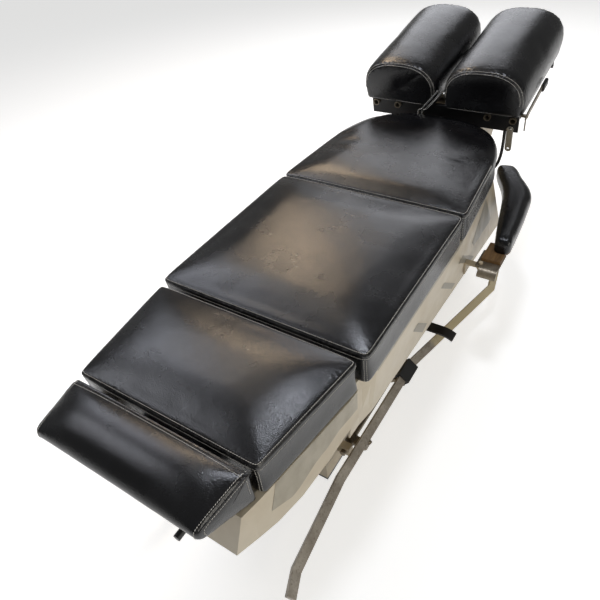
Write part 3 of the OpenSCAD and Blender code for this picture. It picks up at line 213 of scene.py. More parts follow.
@dataclass(frozen=True)
class VinylFinish:
    """Black PVC upholstery vinyl, embossed with a leather grain and rubbed by use.

    To the eye it is nearly black with broad clean highlights, which the pebbled grain breaks
    into a fine sparkle; scuffs are dull and a little lighter, and the folds beside the seams
    are rubbed grey. The IOR is PVC's 1.53.
    """

    name: str = "black_upholstery"
    base: str = "0b0b0d"
    cloud: str = "131315"
    scuff: str = "3b3b3e"
    rubbed: str = "5d5b58"

    def build(self) -> bpy.types.Material:
        """Makes the material; the attribute wear is 1 on the seams and 0 away from them.

        Returns:
            The material.
        """
        s = Shade(self.name)
        # Clouds a hand wide where bodies have rubbed the embossing down
        clouds = {"Detail": 4.0, "Roughness": 0.62}
        # Thin crossing scuffs, 40 mm apart and drawn out eightfold along the table
        drawn = s.add("ShaderNodeMapping", {"Vector": s.place, "Scale": (1.0, 0.12, 1.0),
                                            "Rotation": (0.0, 0.0, 0.5)}).outputs["Vector"]
        lines = s.add("ShaderNodeTexVoronoi", {"Vector": drawn, "Scale": per(42)},
                      feature="DISTANCE_TO_EDGE")
        thin = s.add("ShaderNodeMapRange", {"Value": lines.outputs["Distance"], "From Max": 0.012,
                                            "To Min": 1.0, "To Max": 0.0}).outputs["Result"]
        scuffs = s.add("ShaderNodeMath", {0: thin, 1: s.patches(60, 0.55, 0.72, most=0.45,
                                                                Detail=3.0)},
                       operation="MULTIPLY").outputs[0]
        # Flakes of rubbed colour on the seams
        worn = s.add("ShaderNodeAttribute", attribute_name="wear").outputs["Fac"]
        rub = s.add("ShaderNodeMath", {0: worn, 1: s.patches(9, 0.46, 0.7, most=0.5, Detail=5.0,
                                                             Roughness=0.7)},
                    operation="MULTIPLY").outputs[0]
        tone = s.coats(self.base, (s.patches(120, 0.42, 0.68, **clouds), self.cloud),
                       (scuffs, self.scuff), (rub, self.rubbed))
        # Grain pebbles of 1.2 mm are drawn 2.2 mm wide so that they show at this distance
        pebbles = s.add("ShaderNodeTexVoronoi", {"Vector": s.place, "Scale": per(2.2),
                                                 "Smoothness": 0.6}, feature="SMOOTH_F1")
        # Shallow dents of the slack cover, 18 mm across
        slack = s.add("ShaderNodeTexNoise", {"Vector": s.place, "Scale": per(18), "Detail": 3.0,
                                             "Roughness": 0.6})
        normal = s.add("ShaderNodeBump", {
            "Height": slack.outputs["Fac"], "Distance": 0.0008, "Strength": 0.1,
            "Normal": s.relief(pebbles.outputs["Distance"], 0.0007, 0.4)})
        return s.finish({"IOR": 1.53, "Specular IOR Level": 0.42}, Base_Color=tone,
                        Roughness=s.patches(120, 0.35, 0.7, 0.22, 0.31, **clouds),
                        Normal=normal.outputs["Normal"])


@dataclass(frozen=True)
class PaintFinish:
    """Satin paint on sheet steel, or a painted glass-fibre moulding.

    To the eye it is even and softly shiny, with faint clouds of dirt, dark specks, the fine
    ripple that spray paint dries with, and a darkening towards the bottom of a height range,
    which on the pedestal is painted shade. The IOR is 1.5.
    """

    name: str
    base: str
    dark: str
    light: str
    rough: float = 0.42
    # The darkening's colour, and the heights over which it fades out upwards; on the pedestal it
    # is painted shade
    darkening: str = "857559"
    darkening_low: float = 0.0
    darkening_high: float = 0.1
    darkening_share: float = 0.0
    edge: float = 1.8

    def build(self) -> bpy.types.Material:
        """Makes the material: clouds in the colour, ripple and softened edges in the normal.

        Returns:
            The material.
        """
        s = Shade(self.name)
        # Faint clouds of dirt two hands wide
        clouds = {"Detail": 4.0, "Roughness": 0.6}
        tone = s.coats(self.dark, (s.patches(190, 0.3, 0.5, **clouds), self.base),
                       (s.patches(190, 0.52, 0.74, **clouds), self.light))
        # Darker towards the bottom of the height range; on the pedestal this is painted shade
        # under the table
        if self.darkening_share > 0:
            fall = s.add("ShaderNodeMapRange", {
                "Value": s.add("ShaderNodeSeparateXYZ", {0: s.place}).outputs["Z"],
                "From Min": self.darkening_low, "From Max": self.darkening_high,
                "To Min": self.darkening_share, "To Max": 0.0}).outputs["Result"]
            # Patches 25 mm across that break up the darkening
            spots = s.patches(25, 0.35, 0.7, 0.2, Detail=5.0, Roughness=0.7)
            share = s.add("ShaderNodeMath", {0: fall, 1: spots}, operation="MULTIPLY")
            tone = s.coats(tone, (share.outputs[0], self.darkening))
        # Chips and specks, 4 mm apart
        tone = s.coats(tone, (s.patches(4, 0.7, 0.78, most=0.35), self.dark))
        rough = s.patches(60, 0.3, 0.7, self.rough - 0.07, self.rough + 0.08, Detail=4.0)
        ripple = s.add("ShaderNodeTexNoise", {"Vector": s.place, "Scale": per(5.5)})
        return s.finish({"IOR": 1.5}, Base_Color=tone, Roughness=rough,
                        Normal=s.relief(ripple.outputs["Fac"], 0.0006, 0.12, self.edge))


@dataclass(frozen=True)
class SteelFinish:
    """Cold-rolled steel bar or tube, worn bright in places and browned by handling.

    To the eye it is grey-brown with streaks along its length, specks of rust and rubbed spots.
    Where paint_from is set, beige paint still covers it past that place along the table.
    """

    name: str
    base: str
    dark: str
    light: str
    rough: float = 0.38
    metal: float = 0.85
    rust: str = "4d3a2c"
    rust_share: float = 0.5
    paint_from: Optional[float] = None
    paint: str = "cdbe98"

    def build(self) -> bpy.types.Material:
        """Makes the material: streaks along Y, with specks and clouds.

        Returns:
            The material.
        """
        s = Shade(self.name)
        clouds = {"Detail": 5.0, "Roughness": 0.65}
        # Clouds of handling 70 mm across, and rust specks of 6 mm over them
        tone = s.coats(self.dark, (s.patches(70, 0.3, 0.52, **clouds), self.base),
                       (s.patches(70, 0.54, 0.72, **clouds), self.light),
                       (s.patches(6, 0.54, 0.68, most=self.rust_share, Detail=4.0,
                                  Roughness=0.7), self.rust))
        # Rolling marks a few millimetres apart, drawn out tenfold along the bar
        along_bar = s.add("ShaderNodeMapping", {"Vector": s.place, "Scale": (1.0, 0.1, 1.0)}
                          ).outputs["Vector"]
        streaks = s.add("ShaderNodeTexNoise", {"Vector": along_bar, "Scale": per(3),
                                               "Detail": 4.0}).outputs["Fac"]
        linked = {"Roughness": s.patches(3, 0.3, 0.7, self.rough - 0.09, self.rough + 0.12,
                                         along_bar, Detail=4.0),
                  "Normal": s.relief(streaks, 0.0005, 0.15, 1.2)}
        if self.paint_from is None:
            return s.finish({"Metallic": self.metal}, Base_Color=tone, **linked)
        # The paint's edge is ragged over a hand's width
        ragged = s.add("ShaderNodeMath", {
            0: s.add("ShaderNodeTexNoise", {"Vector": s.place, "Scale": per(70), **clouds}
                     ).outputs["Fac"],
            1: 0.25, 2: s.add("ShaderNodeSeparateXYZ", {0: s.place}).outputs["Y"]},
                       operation="MULTIPLY_ADD").outputs[0]
        painted = s.add("ShaderNodeMapRange", {
            "Value": ragged, "From Min": self.paint_from + 0.1, "From Max": self.paint_from + 0.16,
            "To Max": 0.85}).outputs["Result"]
        metal = s.add("ShaderNodeMapRange", {"Value": painted, "To Min": self.metal,
                                             "To Max": 0.0})
        return s.finish({}, Base_Color=s.coats(tone, (painted, self.paint)),
                        Metallic=metal.outputs["Result"], **linked)


@dataclass(frozen=True)
class WoodFinish:
    """Sawn plywood or a stained board, with its grain along Y.

    To the eye it is dull, with darker lines of grain every few millimetres.
    """

    name: str
    base: str
    dark: str
    rough: float = 0.6

    def build(self) -> bpy.types.Material:
        """Makes the material: noise drawn out along Y for the grain.

        Returns:
            The material.
        """
        s = Shade(self.name)
        # Lines of grain 5 mm apart, drawn out tenfold along Y
        drawn = s.add("ShaderNodeMapping", {"Vector": s.place, "Scale": (1.0, 0.1, 1.0)}
                      ).outputs["Vector"]
        lines = {"Detail": 6.0, "Roughness": 0.65}
        grain = s.add("ShaderNodeTexNoise", {"Vector": drawn, "Scale": per(5), **lines})
        return s.finish({"IOR": 1.45},
                        Base_Color=s.coats(self.dark, (s.patches(5, 0.35, 0.62, place=drawn,
                                                                 **lines), self.base)),
                        Roughness=s.patches(5, 0.3, 0.7, self.rough - 0.1, self.rough + 0.1,
                                            drawn, **lines),
                        Normal=s.relief(grain.outputs["Fac"], 0.0006, 0.25, 1.0))


@dataclass(frozen=True)
class RubberFinish:
    """Moulded black rubber or plastic with a dusty bloom and fine pits."""

    name: str
    base: str
    bloom: str
    rough: float = 0.62

    def build(self) -> bpy.types.Material:
        """Makes the material: bloom in clouds of 35 mm, pits of 2.4 mm in the bump.

        Returns:
            The material.
        """
        s = Shade(self.name)
        pits = s.add("ShaderNodeTexNoise", {"Vector": s.place, "Scale": per(2.4)})
        return s.finish({"IOR": 1.52},
                        Base_Color=s.coats(self.base, (s.patches(35, 0.4, 0.75, Detail=5.0),
                                                       self.bloom)),
                        Roughness=s.patches(35, 0.3, 0.7, self.rough - 0.1, self.rough + 0.1,
                                            Detail=5.0),
                        Normal=s.relief(pits.outputs["Fac"], 0.0004, 0.3, 1.5))


@dataclass(frozen=True)
class PrintFinish:
    """Polyester thread, a printed vinyl stripe or a band of painted shade: an even colour with
    faint fading.
    """

    name: str
    base: str
    faded: str
    rough: float = 0.5
    patch: float = 30.0

    def build(self) -> bpy.types.Material:
        """Makes the material: fading in patches of the given size in millimetres.

        Returns:
            The material.
        """
        s = Shade(self.name)
        return s.finish({"IOR": 1.5},
                        Base_Color=s.coats(self.base, (s.patches(self.patch, 0.35, 0.7),
                                                       self.faded)),
                        Roughness=s.patches(self.patch, 0.3, 0.7, self.rough - 0.06,
                                            self.rough + 0.06))


class Finishes:
    """All finishes of the table, by the record's slot names and a few of their own."""

    def __init__(self) -> None:
        """Builds every finish once."""
        makers = [
            VinylFinish(),
            # Beige gel coat of the moulded glass-fibre shells, darker towards their lower edge
            PaintFinish("beige_shell", "ccc1ac", "c0b39c", "d5cbb8", 0.4, edge=0.0,
                        darkening_share=0.25, darkening_low=0.24, darkening_high=0.42),
            # Beige paint on the pedestal's sheet steel, darkened towards the floor by painted
            # shade
            PaintFinish("beige_paint", "c2b49b", "b5a68c", "cabda6", 0.45, darkening_share=0.4,
                        darkening_low=0.01, darkening_high=0.13),
            # Black enamel on the plates of the head rest
            PaintFinish("black_paint", "141416", "0e0e0f", "202022", 0.38),
            # Bare shafts and tubes, dulled by handling
            SteelFinish("worn_steel", "82796a", "5d5345", "a09787", 0.4, 0.75),
            # The foot bars' flat steel, rubbed by shoes, with old paint at the head end
            SteelFinish("bar_steel", "aca498", "8a8176", "cbc4b9", 0.42, 0.3, paint_from=-0.02),
            # Chrome plate on the hanging link and the small rods
            SteelFinish("bright_steel", "cfcfcc", "b4b3b0", "e2e2df", 0.16, 1.0,
                        rust_share=0.08),
            # Dark brown enamel on the brackets under the table
            PaintFinish("brown_steel", "232120", "161514", "34302c", 0.42),
            # Birch plywood of the cushions' boards
            WoodFinish("plywood", "b6925f", "93703f"),
            # Stained board under the arm pads
            WoodFinish("brown_board", "7c5f3b", "5a4225"),
            # Sintered bronze of the tilt bushes
            SteelFinish("bronze", "8f6d40", "6b4d28", "a98450", 0.42, 0.9, rust_share=0.2),
            # Ribbed rubber of the bar sleeves and the cable's hose
            RubberFinish("black_rubber", "101011", "1f1f20"),
            # Injection-moulded grips and glands
            RubberFinish("black_plastic", "131314", "212122", 0.42),
            # White polyester sewing thread, greyed by use
            PrintFinish("thread", "d6d3cc", "b3afa6", 0.7, 2.5),
            # Printed vinyl film in two greys, stuck on the shells; the first grey is also painted
            # shade along the shell's rim under the cushions
            PrintFinish("grey_stripe", "a9a292", "9d9687", 0.45),
            PrintFinish("grey_block", "8f897c", "979184", 0.45),
        ]
        self.by_name: Dict[str, bpy.types.Material] = {m.name: m.build() for m in makers}

    def dress(self, obj: bpy.types.Object, name: str) -> None:
        """Gives a piece one finish.

        Args:
            obj: the piece.
            name: the finish's name.
        """
        obj.data.materials.clear()
        obj.data.materials.append(self.by_name[name])

    def fit(self, obj: bpy.types.Object, name: str, body: str) -> None:
        """Gives a new piece its finish and the body it rides on, and logs it.

        Args:
            obj: the piece.
            name: the finish's name.
            body: the body it rides on.
        """
        self.dress(obj, name)
        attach(obj, body)
        LOG.info("%s: %d faces", obj.name, len(obj.data.polygons))


def mesh_object(name: str, points: Array, faces: Sequence[Sequence[int]], smooth: bool = True
                ) -> bpy.types.Object:
    """Makes a mesh object at the origin from points and faces.

    Args:
        name: the piece's name.
        points: an (n, 3) array of places in metres.
        faces: rows of vertex numbers.
        smooth: whether the faces are shaded smooth.

    Returns:
        The linked object.
    """
    mesh = bpy.data.meshes.new(name)
    mesh.from_pydata(points.reshape(-1, 3).tolist(), [],
                     faces.tolist() if isinstance(faces, np.ndarray) else faces)
    mesh.update()
    mesh.polygons.foreach_set("use_smooth", np.full(len(mesh.polygons), smooth))
    obj = bpy.data.objects.new(name, mesh)
    bpy.context.collection.objects.link(obj)
    return obj


def numbers_of(items: object, name: str, width: int, kind: type = np.float32) -> Array:
    """Reads one property of all of a mesh's items.

    Args:
        items: the mesh's vertices, edges or the like.
        name: the property's name.
        width: how many numbers an item has.
        kind: the type Blender stores, float32 or int32.

    Returns:
        An (n, width) array, of doubles where the numbers aren't whole.
    """
    flat = np.empty(len(items) * width, dtype=kind)
    items.foreach_get(name, flat)
    return (flat.astype(float) if kind is np.float32 else flat).reshape(-1, width)


def grid_faces(rows: int, columns: int, closed: bool) -> Array:
    """Quads of a grid whose rows have the given number of columns.

    Args:
        rows: number of rows.
        columns: number of points in a row.
        closed: whether a row's last point joins its first.

    Returns:
        An (m, 4) array of vertex numbers.
    """
    r = np.arange(rows - 1)[:, None]
    c = np.arange(columns if closed else columns - 1)[None, :]
    nxt = (c + 1) % columns
    a, b = r * columns + c, r * columns + nxt
    return np.stack([a, b, b + columns, a + columns], axis=-1).reshape(-1, 4)


def ring_faces(rows: int, columns: int) -> List[List[int]]:
    """Quads of a closed stack of rings, with one many-sided face on each end.

    Args:
        rows: number of rings.
        columns: number of points in a ring.

    Returns:
        Rows of vertex numbers.
    """
    faces = grid_faces(rows, columns, True).tolist()
    faces.append(list(range(columns))[::-1])
    faces.append([(rows - 1) * columns + i for i in range(columns)])
    return faces


def smooth_path(points: Array, per_span: int, closed: bool = False) -> Array:
    """Passes a Catmull-Rom curve through points.

    Each span is the cubic whose slope at a point is half the step between its neighbours.

    Args:
        points: an (n, d) array.
        per_span: samples in each span.
        closed: whether the curve returns to its start.

    Returns:
        An array of samples, the last point included where the curve is open.
    """
    p = np.asarray(points, float)
    if closed:
        ext = np.vstack([p[-1:], p, p[:2]])
    else:
        ext = np.vstack([2 * p[0] - p[1], p, 2 * p[-1] - p[-2]])
    t = np.linspace(0, 1, per_span, endpoint=False)[None, :, None]
    a, b, c, d = (ext[i:len(ext) - 3 + i][:, None, :] for i in range(4))
    spans = 0.5 * (2 * b + (c - a) * t + (2 * a - 5 * b + 4 * c - d) * t ** 2
                   + (3 * b - a - 3 * c + d) * t ** 3)
    flat = spans.reshape(-1, p.shape[1])
    return flat if closed else np.vstack([flat, p[-1:]])


def arc_length(points: Array) -> Array:
    """Length along a polyline up to each of its points."""
    return np.concatenate([[0], np.cumsum(np.linalg.norm(np.diff(points, axis=0), axis=1))])


def resample(points: Array, step: float, closed: bool) -> Array:
    """Places samples at even distances along a polyline.

    Args:
        points: an (n, d) polyline.
        step: the wanted distance between samples.
        closed: whether the polyline returns to its start.

    Returns:
        The even samples.
    """
    p = np.vstack([points, points[:1]]) if closed else points
    length = arc_length(p)
    count = max(2, int(round(length[-1] / step)))
    at = np.linspace(0, length[-1], count, endpoint=not closed)
    return np.stack([np.interp(at, length, p[:, k]) for k in range(p.shape[1])], axis=1)


def blend(low: float, high: float, value: Array) -> Array:
    """The smooth step 3u^2 - 2u^3 of u, the value's share of the way from low to high."""
    u = np.clip((value - low) / (high - low), 0, 1)
    return u * u * (3 - 2 * u)


def ripple(points: Array, length: float) -> Array:
    """A smooth uneven wave over space, about -1 to 1.

    It is the mean of three products of sines whose directions and lengths differ, so that it
    doesn't repeat over one cushion.

    Args:
        points: (n, 3) places.
        length: the usual distance between crests, in metres.

    Returns:
        One value for each place.
    """
    x, y, z = (points[..., k] * (2 * math.pi / length) for k in range(3))
    return (np.sin(x + 0.31 * y + 0.2 * z) * np.sin(0.83 * y - 0.27 * x + 1.3)
            + np.sin(0.61 * x - 0.47 * z + 2.1) * np.sin(1.21 * y + 0.4 * x)
            + np.sin(1.37 * z + 0.6 * x + 0.7) * np.sin(0.71 * x + 1.09 * y + 2.6)) / 1.6


def tube(name: str, path: Array, radius: float, sides: int = 16) -> bpy.types.Object:
    """A round tube along a path: a circle in the plane square to the path, at each point.

    The circle's first axis is the table's long axis less its part along the path, so the tube
    doesn't twist.

    Args:
        name: the piece's name.
        path: an (n, 3) array of centres, nowhere parallel to Y.
        radius: the tube's radius.
        sides: points round the circle.

    Returns:
        The tube with closed ends.
    """
    tangent = np.gradient(path, axis=0)
    tangent /= np.linalg.norm(tangent, axis=1)[:, None]
    side = np.array([0.0, 1.0, 0.0]) - tangent * tangent[:, 1:2]
    side /= np.linalg.norm(side, axis=1)[:, None]
    other = np.cross(tangent, side)
    angle = np.linspace(0, 2 * math.pi, sides, endpoint=False)
    rings = path[:, None, :] + radius * (np.cos(angle)[None, :, None] * side[:, None, :]
                                         + np.sin(angle)[None, :, None] * other[:, None, :])
    return mesh_object(name, rings, ring_faces(len(path), sides))


@dataclass
class Cover:
    """A closed cover before it is stuffed.

    seam is each point's distance from the nearest seam, free the share of the cloth's movement
    that it keeps, held whether the cloth run leaves it where it is, and gather the size of the
    puckers beside the seams.
    """

    points: Array
    faces: List[List[int]]
    seam: Array
    free: Array
    held: Array
    gather: float = 0.0003
    gather_pitch: float = 0.016


@dataclass(frozen=True)
class Stitching:
    """One line of stitches close to a cover: its points, and whether it is a loop."""

    line: Array
    closed: bool = False


@dataclass(frozen=True)
class BoxedForm:
    """Sizes of one boxed cushion: a top panel sewn to a boxing that hangs down its sides.

    The outline is a superellipse drawn into a trapezoid, with its own half width and corner
    roundness at the foot end and at the head end.
    """

    name: str
    node: str
    body: str
    half_foot: float
    half_head: float
    foot: float
    head: float
    low: float = 0.4778
    top: float = 0.5590
    crown: float = 0.006
    puff: float = 0.0135
    round_foot: float = 42.0
    round_head: float = 42.0
    roll: float = 0.0
    cells: Tuple[int, int] = (66, 60)

    def plan(self, s: Array, t: Array, pull: float, out: float = 0.003
             ) -> Tuple[Array, Array]:
        """Fills the outline with a square grid.

        A grid point (s, t) moves towards the middle by the share (1 - k) m^2, where m is the
        larger of |s| and |t|, and k = (|s/m|^n + |t/m|^n)^(-1/n) brings the border onto the
        superellipse of exponent n.

        Args:
            s: across, from -1 to 1.
            t: along, from -1 at the foot end to 1 at the head end.
            pull: how far the outline is drawn in.
            out: how far the sides stand out beyond the board, where no cushion is beside them.

        Returns:
            X and Y.
        """
        m = np.maximum(np.maximum(np.abs(s), np.abs(t)), 1e-6)
        n = np.where(t < 0, self.round_foot, self.round_head)
        k = ((np.abs(s) / m) ** n + (np.abs(t) / m) ** n) ** (-1 / n)
        share = 1 - (1 - k) * m ** 2
        half = (self.half_foot + (self.half_head - self.half_foot) * (t * share + 1) / 2
                + out - pull)
        mid, reach = (self.foot + self.head) / 2, (self.head - self.foot) / 2 - pull
        return s * share * half, mid + t * share * reach

    def rolled(self, t: Array) -> Array:
        """How far the top turns over in place of a sharp seam: roll, eased in along t."""
        return self.roll * blend(-0.15, 0.55, t)

    def border(self) -> Tuple[Array, Array]:
        """The square's border, from the middle of the head end and back to it.

        Returns:
            Its points' s and t.
        """
        corners = np.array([(0, 1), (-1, 1), (-1, -1), (1, -1), (1, 1), (0, 1)], float)
        loop = resample(corners, 0.004, False)
        return loop[:, 0], loop[:, 1]

    def panel(self, s: Array, t: Array) -> Tuple[Array, Array]:
        """Height of the top panel.

        It is top - r + (r^2 - (r - d)^2)^(1/2) where it rolls over with radius r, plus
        crown (1 - |s|^2.6)(1 - |t|^2.6), plus puff (1 - exp(-a / 28 mm))(1 - exp(-b / 28 mm)),
        a and b being the distances from the nearer side and end and d the lesser of the two.

        Args:
            s: across, from -1 to 1.
            t: along, from -1 at the foot end to 1 at the head end.

        Returns:
            Z, and the distance d.
        """
        reach = (self.head - self.foot) / 2
        a, b = (1 - np.abs(s)) * self.half_foot, (1 - np.abs(t)) * reach
        d = np.minimum(a, b)
        r = self.rolled(t)
        inside = np.minimum(d, r)
        turn = np.sqrt(np.clip(r ** 2 - (r - inside) ** 2, 0, None)) - r
        return (self.top + turn + self.crown * (1 - np.abs(s) ** 2.6) * (1 - np.abs(t) ** 2.6)
                + self.puff * (1 - np.exp(-a / 0.028)) * (1 - np.exp(-b / 0.028))), d

    def boxing(self, s: Array, t: Array, edge: Array) -> Array:
        """The rings below the top's edge.

        At the share h of the height they bow in by 2.5 mm sin(pi h), and the last ones turn in
        under the cushion.

        Args:
            s: across, for each point of the edge.
            t: along, for each point of the edge.
            edge: (n, 3) points of the top's edge.

        Returns:
            (m, n, 3) points.
        """
        rings = []
        for h in (0.04, 0.09, 0.15, 0.24, 0.34, 0.45, 0.57, 0.69, 0.8, 0.9, 0.96, 0.99):
            x, y = self.plan(s, t, 0.0008 + 0.0025 * math.sin(math.pi * h)
                             + 0.0025 * max(0.0, (h - 0.93) / 0.06) ** 2)
            rings.append(np.stack([x, y, edge[:, 2] + (self.low - edge[:, 2]) * h], axis=-1))
        return np.stack(rings)

    def cover(self) -> Cover:
        """The cover: a square grid for the top, rings down the boxing and a grid below.

        Returns:
            The cover.
        """
        nx, ny = self.cells
        u, v = np.linspace(-1, 1, nx), np.linspace(-1, 1, ny)
        u, v = u * (1 + 0.3 * (1 - u * u)), v * (1 + 0.3 * (1 - v * v))
        s, t = np.meshgrid(u, v)
        x, y = self.plan(s, t, 0.0015)
        z, d = self.panel(s, t)
        upper = np.stack([x, y, z], axis=-1)
        lower = np.stack([*self.plan(s, t, 0.004), np.full_like(s, self.low)], axis=-1)
        index = np.arange(nx * ny).reshape(ny, nx)
        rim = np.concatenate([index[0, :-1], index[:-1, -1], index[-1, :0:-1], index[:0:-1, 0]])
        bs, bt = s.reshape(-1)[rim], t.reshape(-1)[rim]
        edge = upper.reshape(-1, 3)[rim]
        edge[:, 2] += 0.0007 * ripple(edge, 0.11)
        upper.reshape(-1, 3)[rim] = edge
        sides = self.boxing(bs, bt, edge)
        count, total = nx * ny, len(rim)
        numbers = np.vstack([rim, 2 * count + np.arange(len(sides) * total).reshape(-1, total),
                             rim + count])
        up, down = numbers[:-1], numbers[1:]
        walls = np.stack([down, np.roll(down, -1, axis=1), np.roll(up, -1, axis=1), up], axis=-1)
        flat = grid_faces(ny, nx, False)
        faces = np.vstack([flat, flat[:, ::-1] + count, walls.reshape(-1, 4)])
        # Where the top rolls over by more than 4 mm there is no seam
        seamless, away = self.rolled(t) > 0.004, 0.06
        below = (edge[None, :, 2] - sides[..., 2]) + away * seamless.reshape(-1)[rim]
        far = d + away * seamless
        seam = np.concatenate([far.ravel(), np.full(count, FAR), below.ravel()])
        free = np.concatenate([blend(0.0, 0.03, d).ravel(), np.zeros(count),
                               np.full(len(sides) * total, 0.3)])
        held = np.concatenate([(d < 1e-6).ravel(), np.ones(count, bool),
                               np.zeros(len(sides) * total, bool)])
        held[:count] &= ~seamless.ravel()
        return Cover(np.vstack([upper.reshape(-1, 3), lower.reshape(-1, 3),
                                sides.reshape(-1, 3)]), faces.tolist(), seam, free, held)

    def stitching(self) -> List[Stitching]:
        """Two lines round the top edge, and two down the boxing at each foot-end corner.

        Returns:
            The lines.
        """
        s, t = self.border()
        lines = []
        for pull, rise in ((0.0046, 0.002), (0.001, -0.0118)):
            x, y = self.plan(s, t, pull)
            line = np.stack([x, y, np.full_like(x, self.top + rise)], axis=-1)
            if self.roll > 0:
                line = line[t < 0.0]
            lines.append(Stitching(line[:-1] if self.roll == 0 else line, self.roll == 0))
        for side in Side:
            for off in (0.0, 0.007):
                s1 = np.full(12, side.value * (1 - off / self.half_foot))
                x, y = self.plan(s1, np.full(12, -1.0), 0.003)
                z = np.linspace(self.top - 0.018, self.low + 0.006, 12)
                lines.append(Stitching(np.stack([x, y, z], axis=-1)))
        return lines


@dataclass(frozen=True)
class BolsterForm:
    """Sizes of the ankle bolster: a wedge section carried across the table.

    It has a sewn edge along its head side, a rolled foot edge with no seam, and sewn end panels.
    Both sections are lists of Y and Z in millimetres, going up the head face, over the top,
    round the foot edge and back along the underside.
    """

    name: str = "ankle_pad"
    node: str = "foot_cushion"
    body: str = "ankle_section"
    half_foot: float = 0.200
    half_head: float = 0.214
    foot: float = -0.9405
    head: float = -0.8245
    full: Tuple[Tuple[float, float], ...] = (
        (-825.5, 477), (-826, 505), (-826, 535), (-825.5, 552.5), (-826, 558.5), (-829.5, 562),
        (-838, 568.5), (-852, 574.5), (-870, 577), (-888, 576.5), (-906, 572), (-922, 565.5),
        (-936, 556), (-945, 545), (-947, 534), (-943, 524), (-933, 518), (-900, 506),
        (-865, 491), (-838, 479))
    sewn: Tuple[Tuple[float, float], ...] = (
        (-825.5, 477), (-826, 505), (-826, 535), (-825.5, 551), (-826, 556), (-829.5, 558.5),
        (-838, 559), (-852, 558), (-870, 555.5), (-888, 553.5), (-906, 552), (-922, 550.5),
        (-936, 548.5), (-944, 545), (-947, 535), (-944, 525), (-934, 518), (-900, 505),
        (-865, 490), (-838, 478.5))
    per_span: int = 4

    # Numbers of the section's points: the first free one, the head edge, the crest's start, the
    # last one that a line of stitches reaches, and the last free one
    FIRST, EDGE, CREST, ROUND, LAST = 1, 5, 6, 15, 16

    def widths(self, y: Array) -> Array:
        """Half width at each Y, from the foot end's to the head end's."""
        share = (y - self.foot) / (self.head - self.foot)
        return self.half_foot + (self.half_head - self.half_foot) * share

    def ring(self, u: float, inner: float = 1.0, bulge: float = 0.0) -> Array:
        """The section at a share of the half width.

        It is sewn + (full - sewn)(1 - |u|^5), drawn towards its middle by the inner share.

        Args:
            u: from -1 at the left end to 1 at the right end.
            inner: the section's scale about its middle, for the end panels.
            bulge: how far the panel stands out.

        Returns:
            (n, 3) places.
        """
        full = smooth_path(np.array(self.full) * MM, self.per_span, True)
        sewn = smooth_path(np.array(self.sewn) * MM, self.per_span, True)
        yz = sewn + (full - sewn) * (1 - abs(u) ** 5)
        yz = sewn.mean(axis=0) + (yz - sewn.mean(axis=0)) * inner
        x = u * (self.widths(yz[:, 0]) - 0.0015) + math.copysign(bulge, u)
        return np.column_stack([x, yz])

    def cover(self) -> Cover:
        """The cover: end panel, rings across the table, end panel.

        Returns:
            The cover.
        """
        u = np.sin(np.linspace(-math.pi / 2, math.pi / 2, 65))
        # An end panel's rings: scale, how far out, and distance from the seam
        panel = [(0.12, 0.004, 0.03), (0.4, 0.0038, 0.03), (0.65, 0.003, 0.02),
                 (0.84, 0.002, 0.012), (0.94, 0.001, 0.005)]
        rings = [self.ring(-1.0, s, b) for s, b, _ in panel]
        rings += [self.ring(x) for x in u]
        rings += [self.ring(1.0, s, b) for s, b, _ in panel[::-1]]
        points = np.stack(rings)
        count = points.shape[1]
        at = np.pad(u, len(panel), constant_values=1.0)
        falls = np.array(panel)[:, 2]
        end = np.concatenate([falls, (1 - np.abs(u)) * self.half_foot, falls[::-1]])
        middle = points[len(points) // 2]
        length = arc_length(np.vstack([middle, middle[:1]]))
        along = length[:count]
        corner = along[self.EDGE * self.per_span]
        head = np.minimum(np.abs(along - corner), length[-1] - np.abs(along - corner))
        seam = np.minimum(end[:, None], head[None, :])
        spare = np.pad(blend(0.0, 0.03, (1 - np.abs(u)) * self.half_foot), len(panel))
        low = ((along > along[self.LAST * self.per_span])
               | (along < along[self.FIRST * self.per_span]))
        free = spare[:, None] * blend(0.0, 0.02, head)[None, :] * np.where(low, 0.0, 1.0)[None, :]
        held = (np.abs(at) > 0.9999)[:, None] | low[None, :]
        return Cover(points.reshape(-1, 3), ring_faces(len(points), count), seam.ravel(),
                     free.ravel(), np.broadcast_to(held, seam.shape).ravel().copy())

    def stitching(self) -> List[Stitching]:
        """One line along the head edge, and two round each end panel's upper edge.

        Returns:
            The lines.
        """
        across = np.linspace(-0.985, 0.985, 90)
        y, z = smooth_path(np.array(self.full) * MM, self.per_span, True)[
            self.CREST * self.per_span]
        lines = [Stitching(np.column_stack([
            across * (self.widths(np.array([y])) - 0.0015), np.full(90, y), np.full(90, z)]))]
        upper = slice(self.FIRST * self.per_span, self.ROUND * self.per_span)
        for side in Side:
            lines.append(Stitching(self.ring(side.value * 0.968)[upper]))
            lines.append(Stitching(self.ring(side.value, 0.8)[upper]))
        return lines


@dataclass(frozen=True)
class HeadFrame:
    """The tilted frame of the head rest: its pivot and its stored slope."""

    pivot_y: float = 0.5995
    pivot_z: float = 0.570
    slope: float = math.radians(8.5)

    def place(self, local: Array) -> Array:
        """Turns places in the head rest's frame into the table's.

        Args:
            local: places across, along and above the head rest.

        Returns:
            The same places in the table's frame.
        """
        c, s = math.cos(self.slope), math.sin(self.slope)
        y = self.pivot_y + local[..., 1] * c - local[..., 2] * s
        z = self.pivot_z + local[..., 1] * s + local[..., 2] * c
        return np.stack([local[..., 0], y, z], axis=-1)


HEAD = HeadFrame()


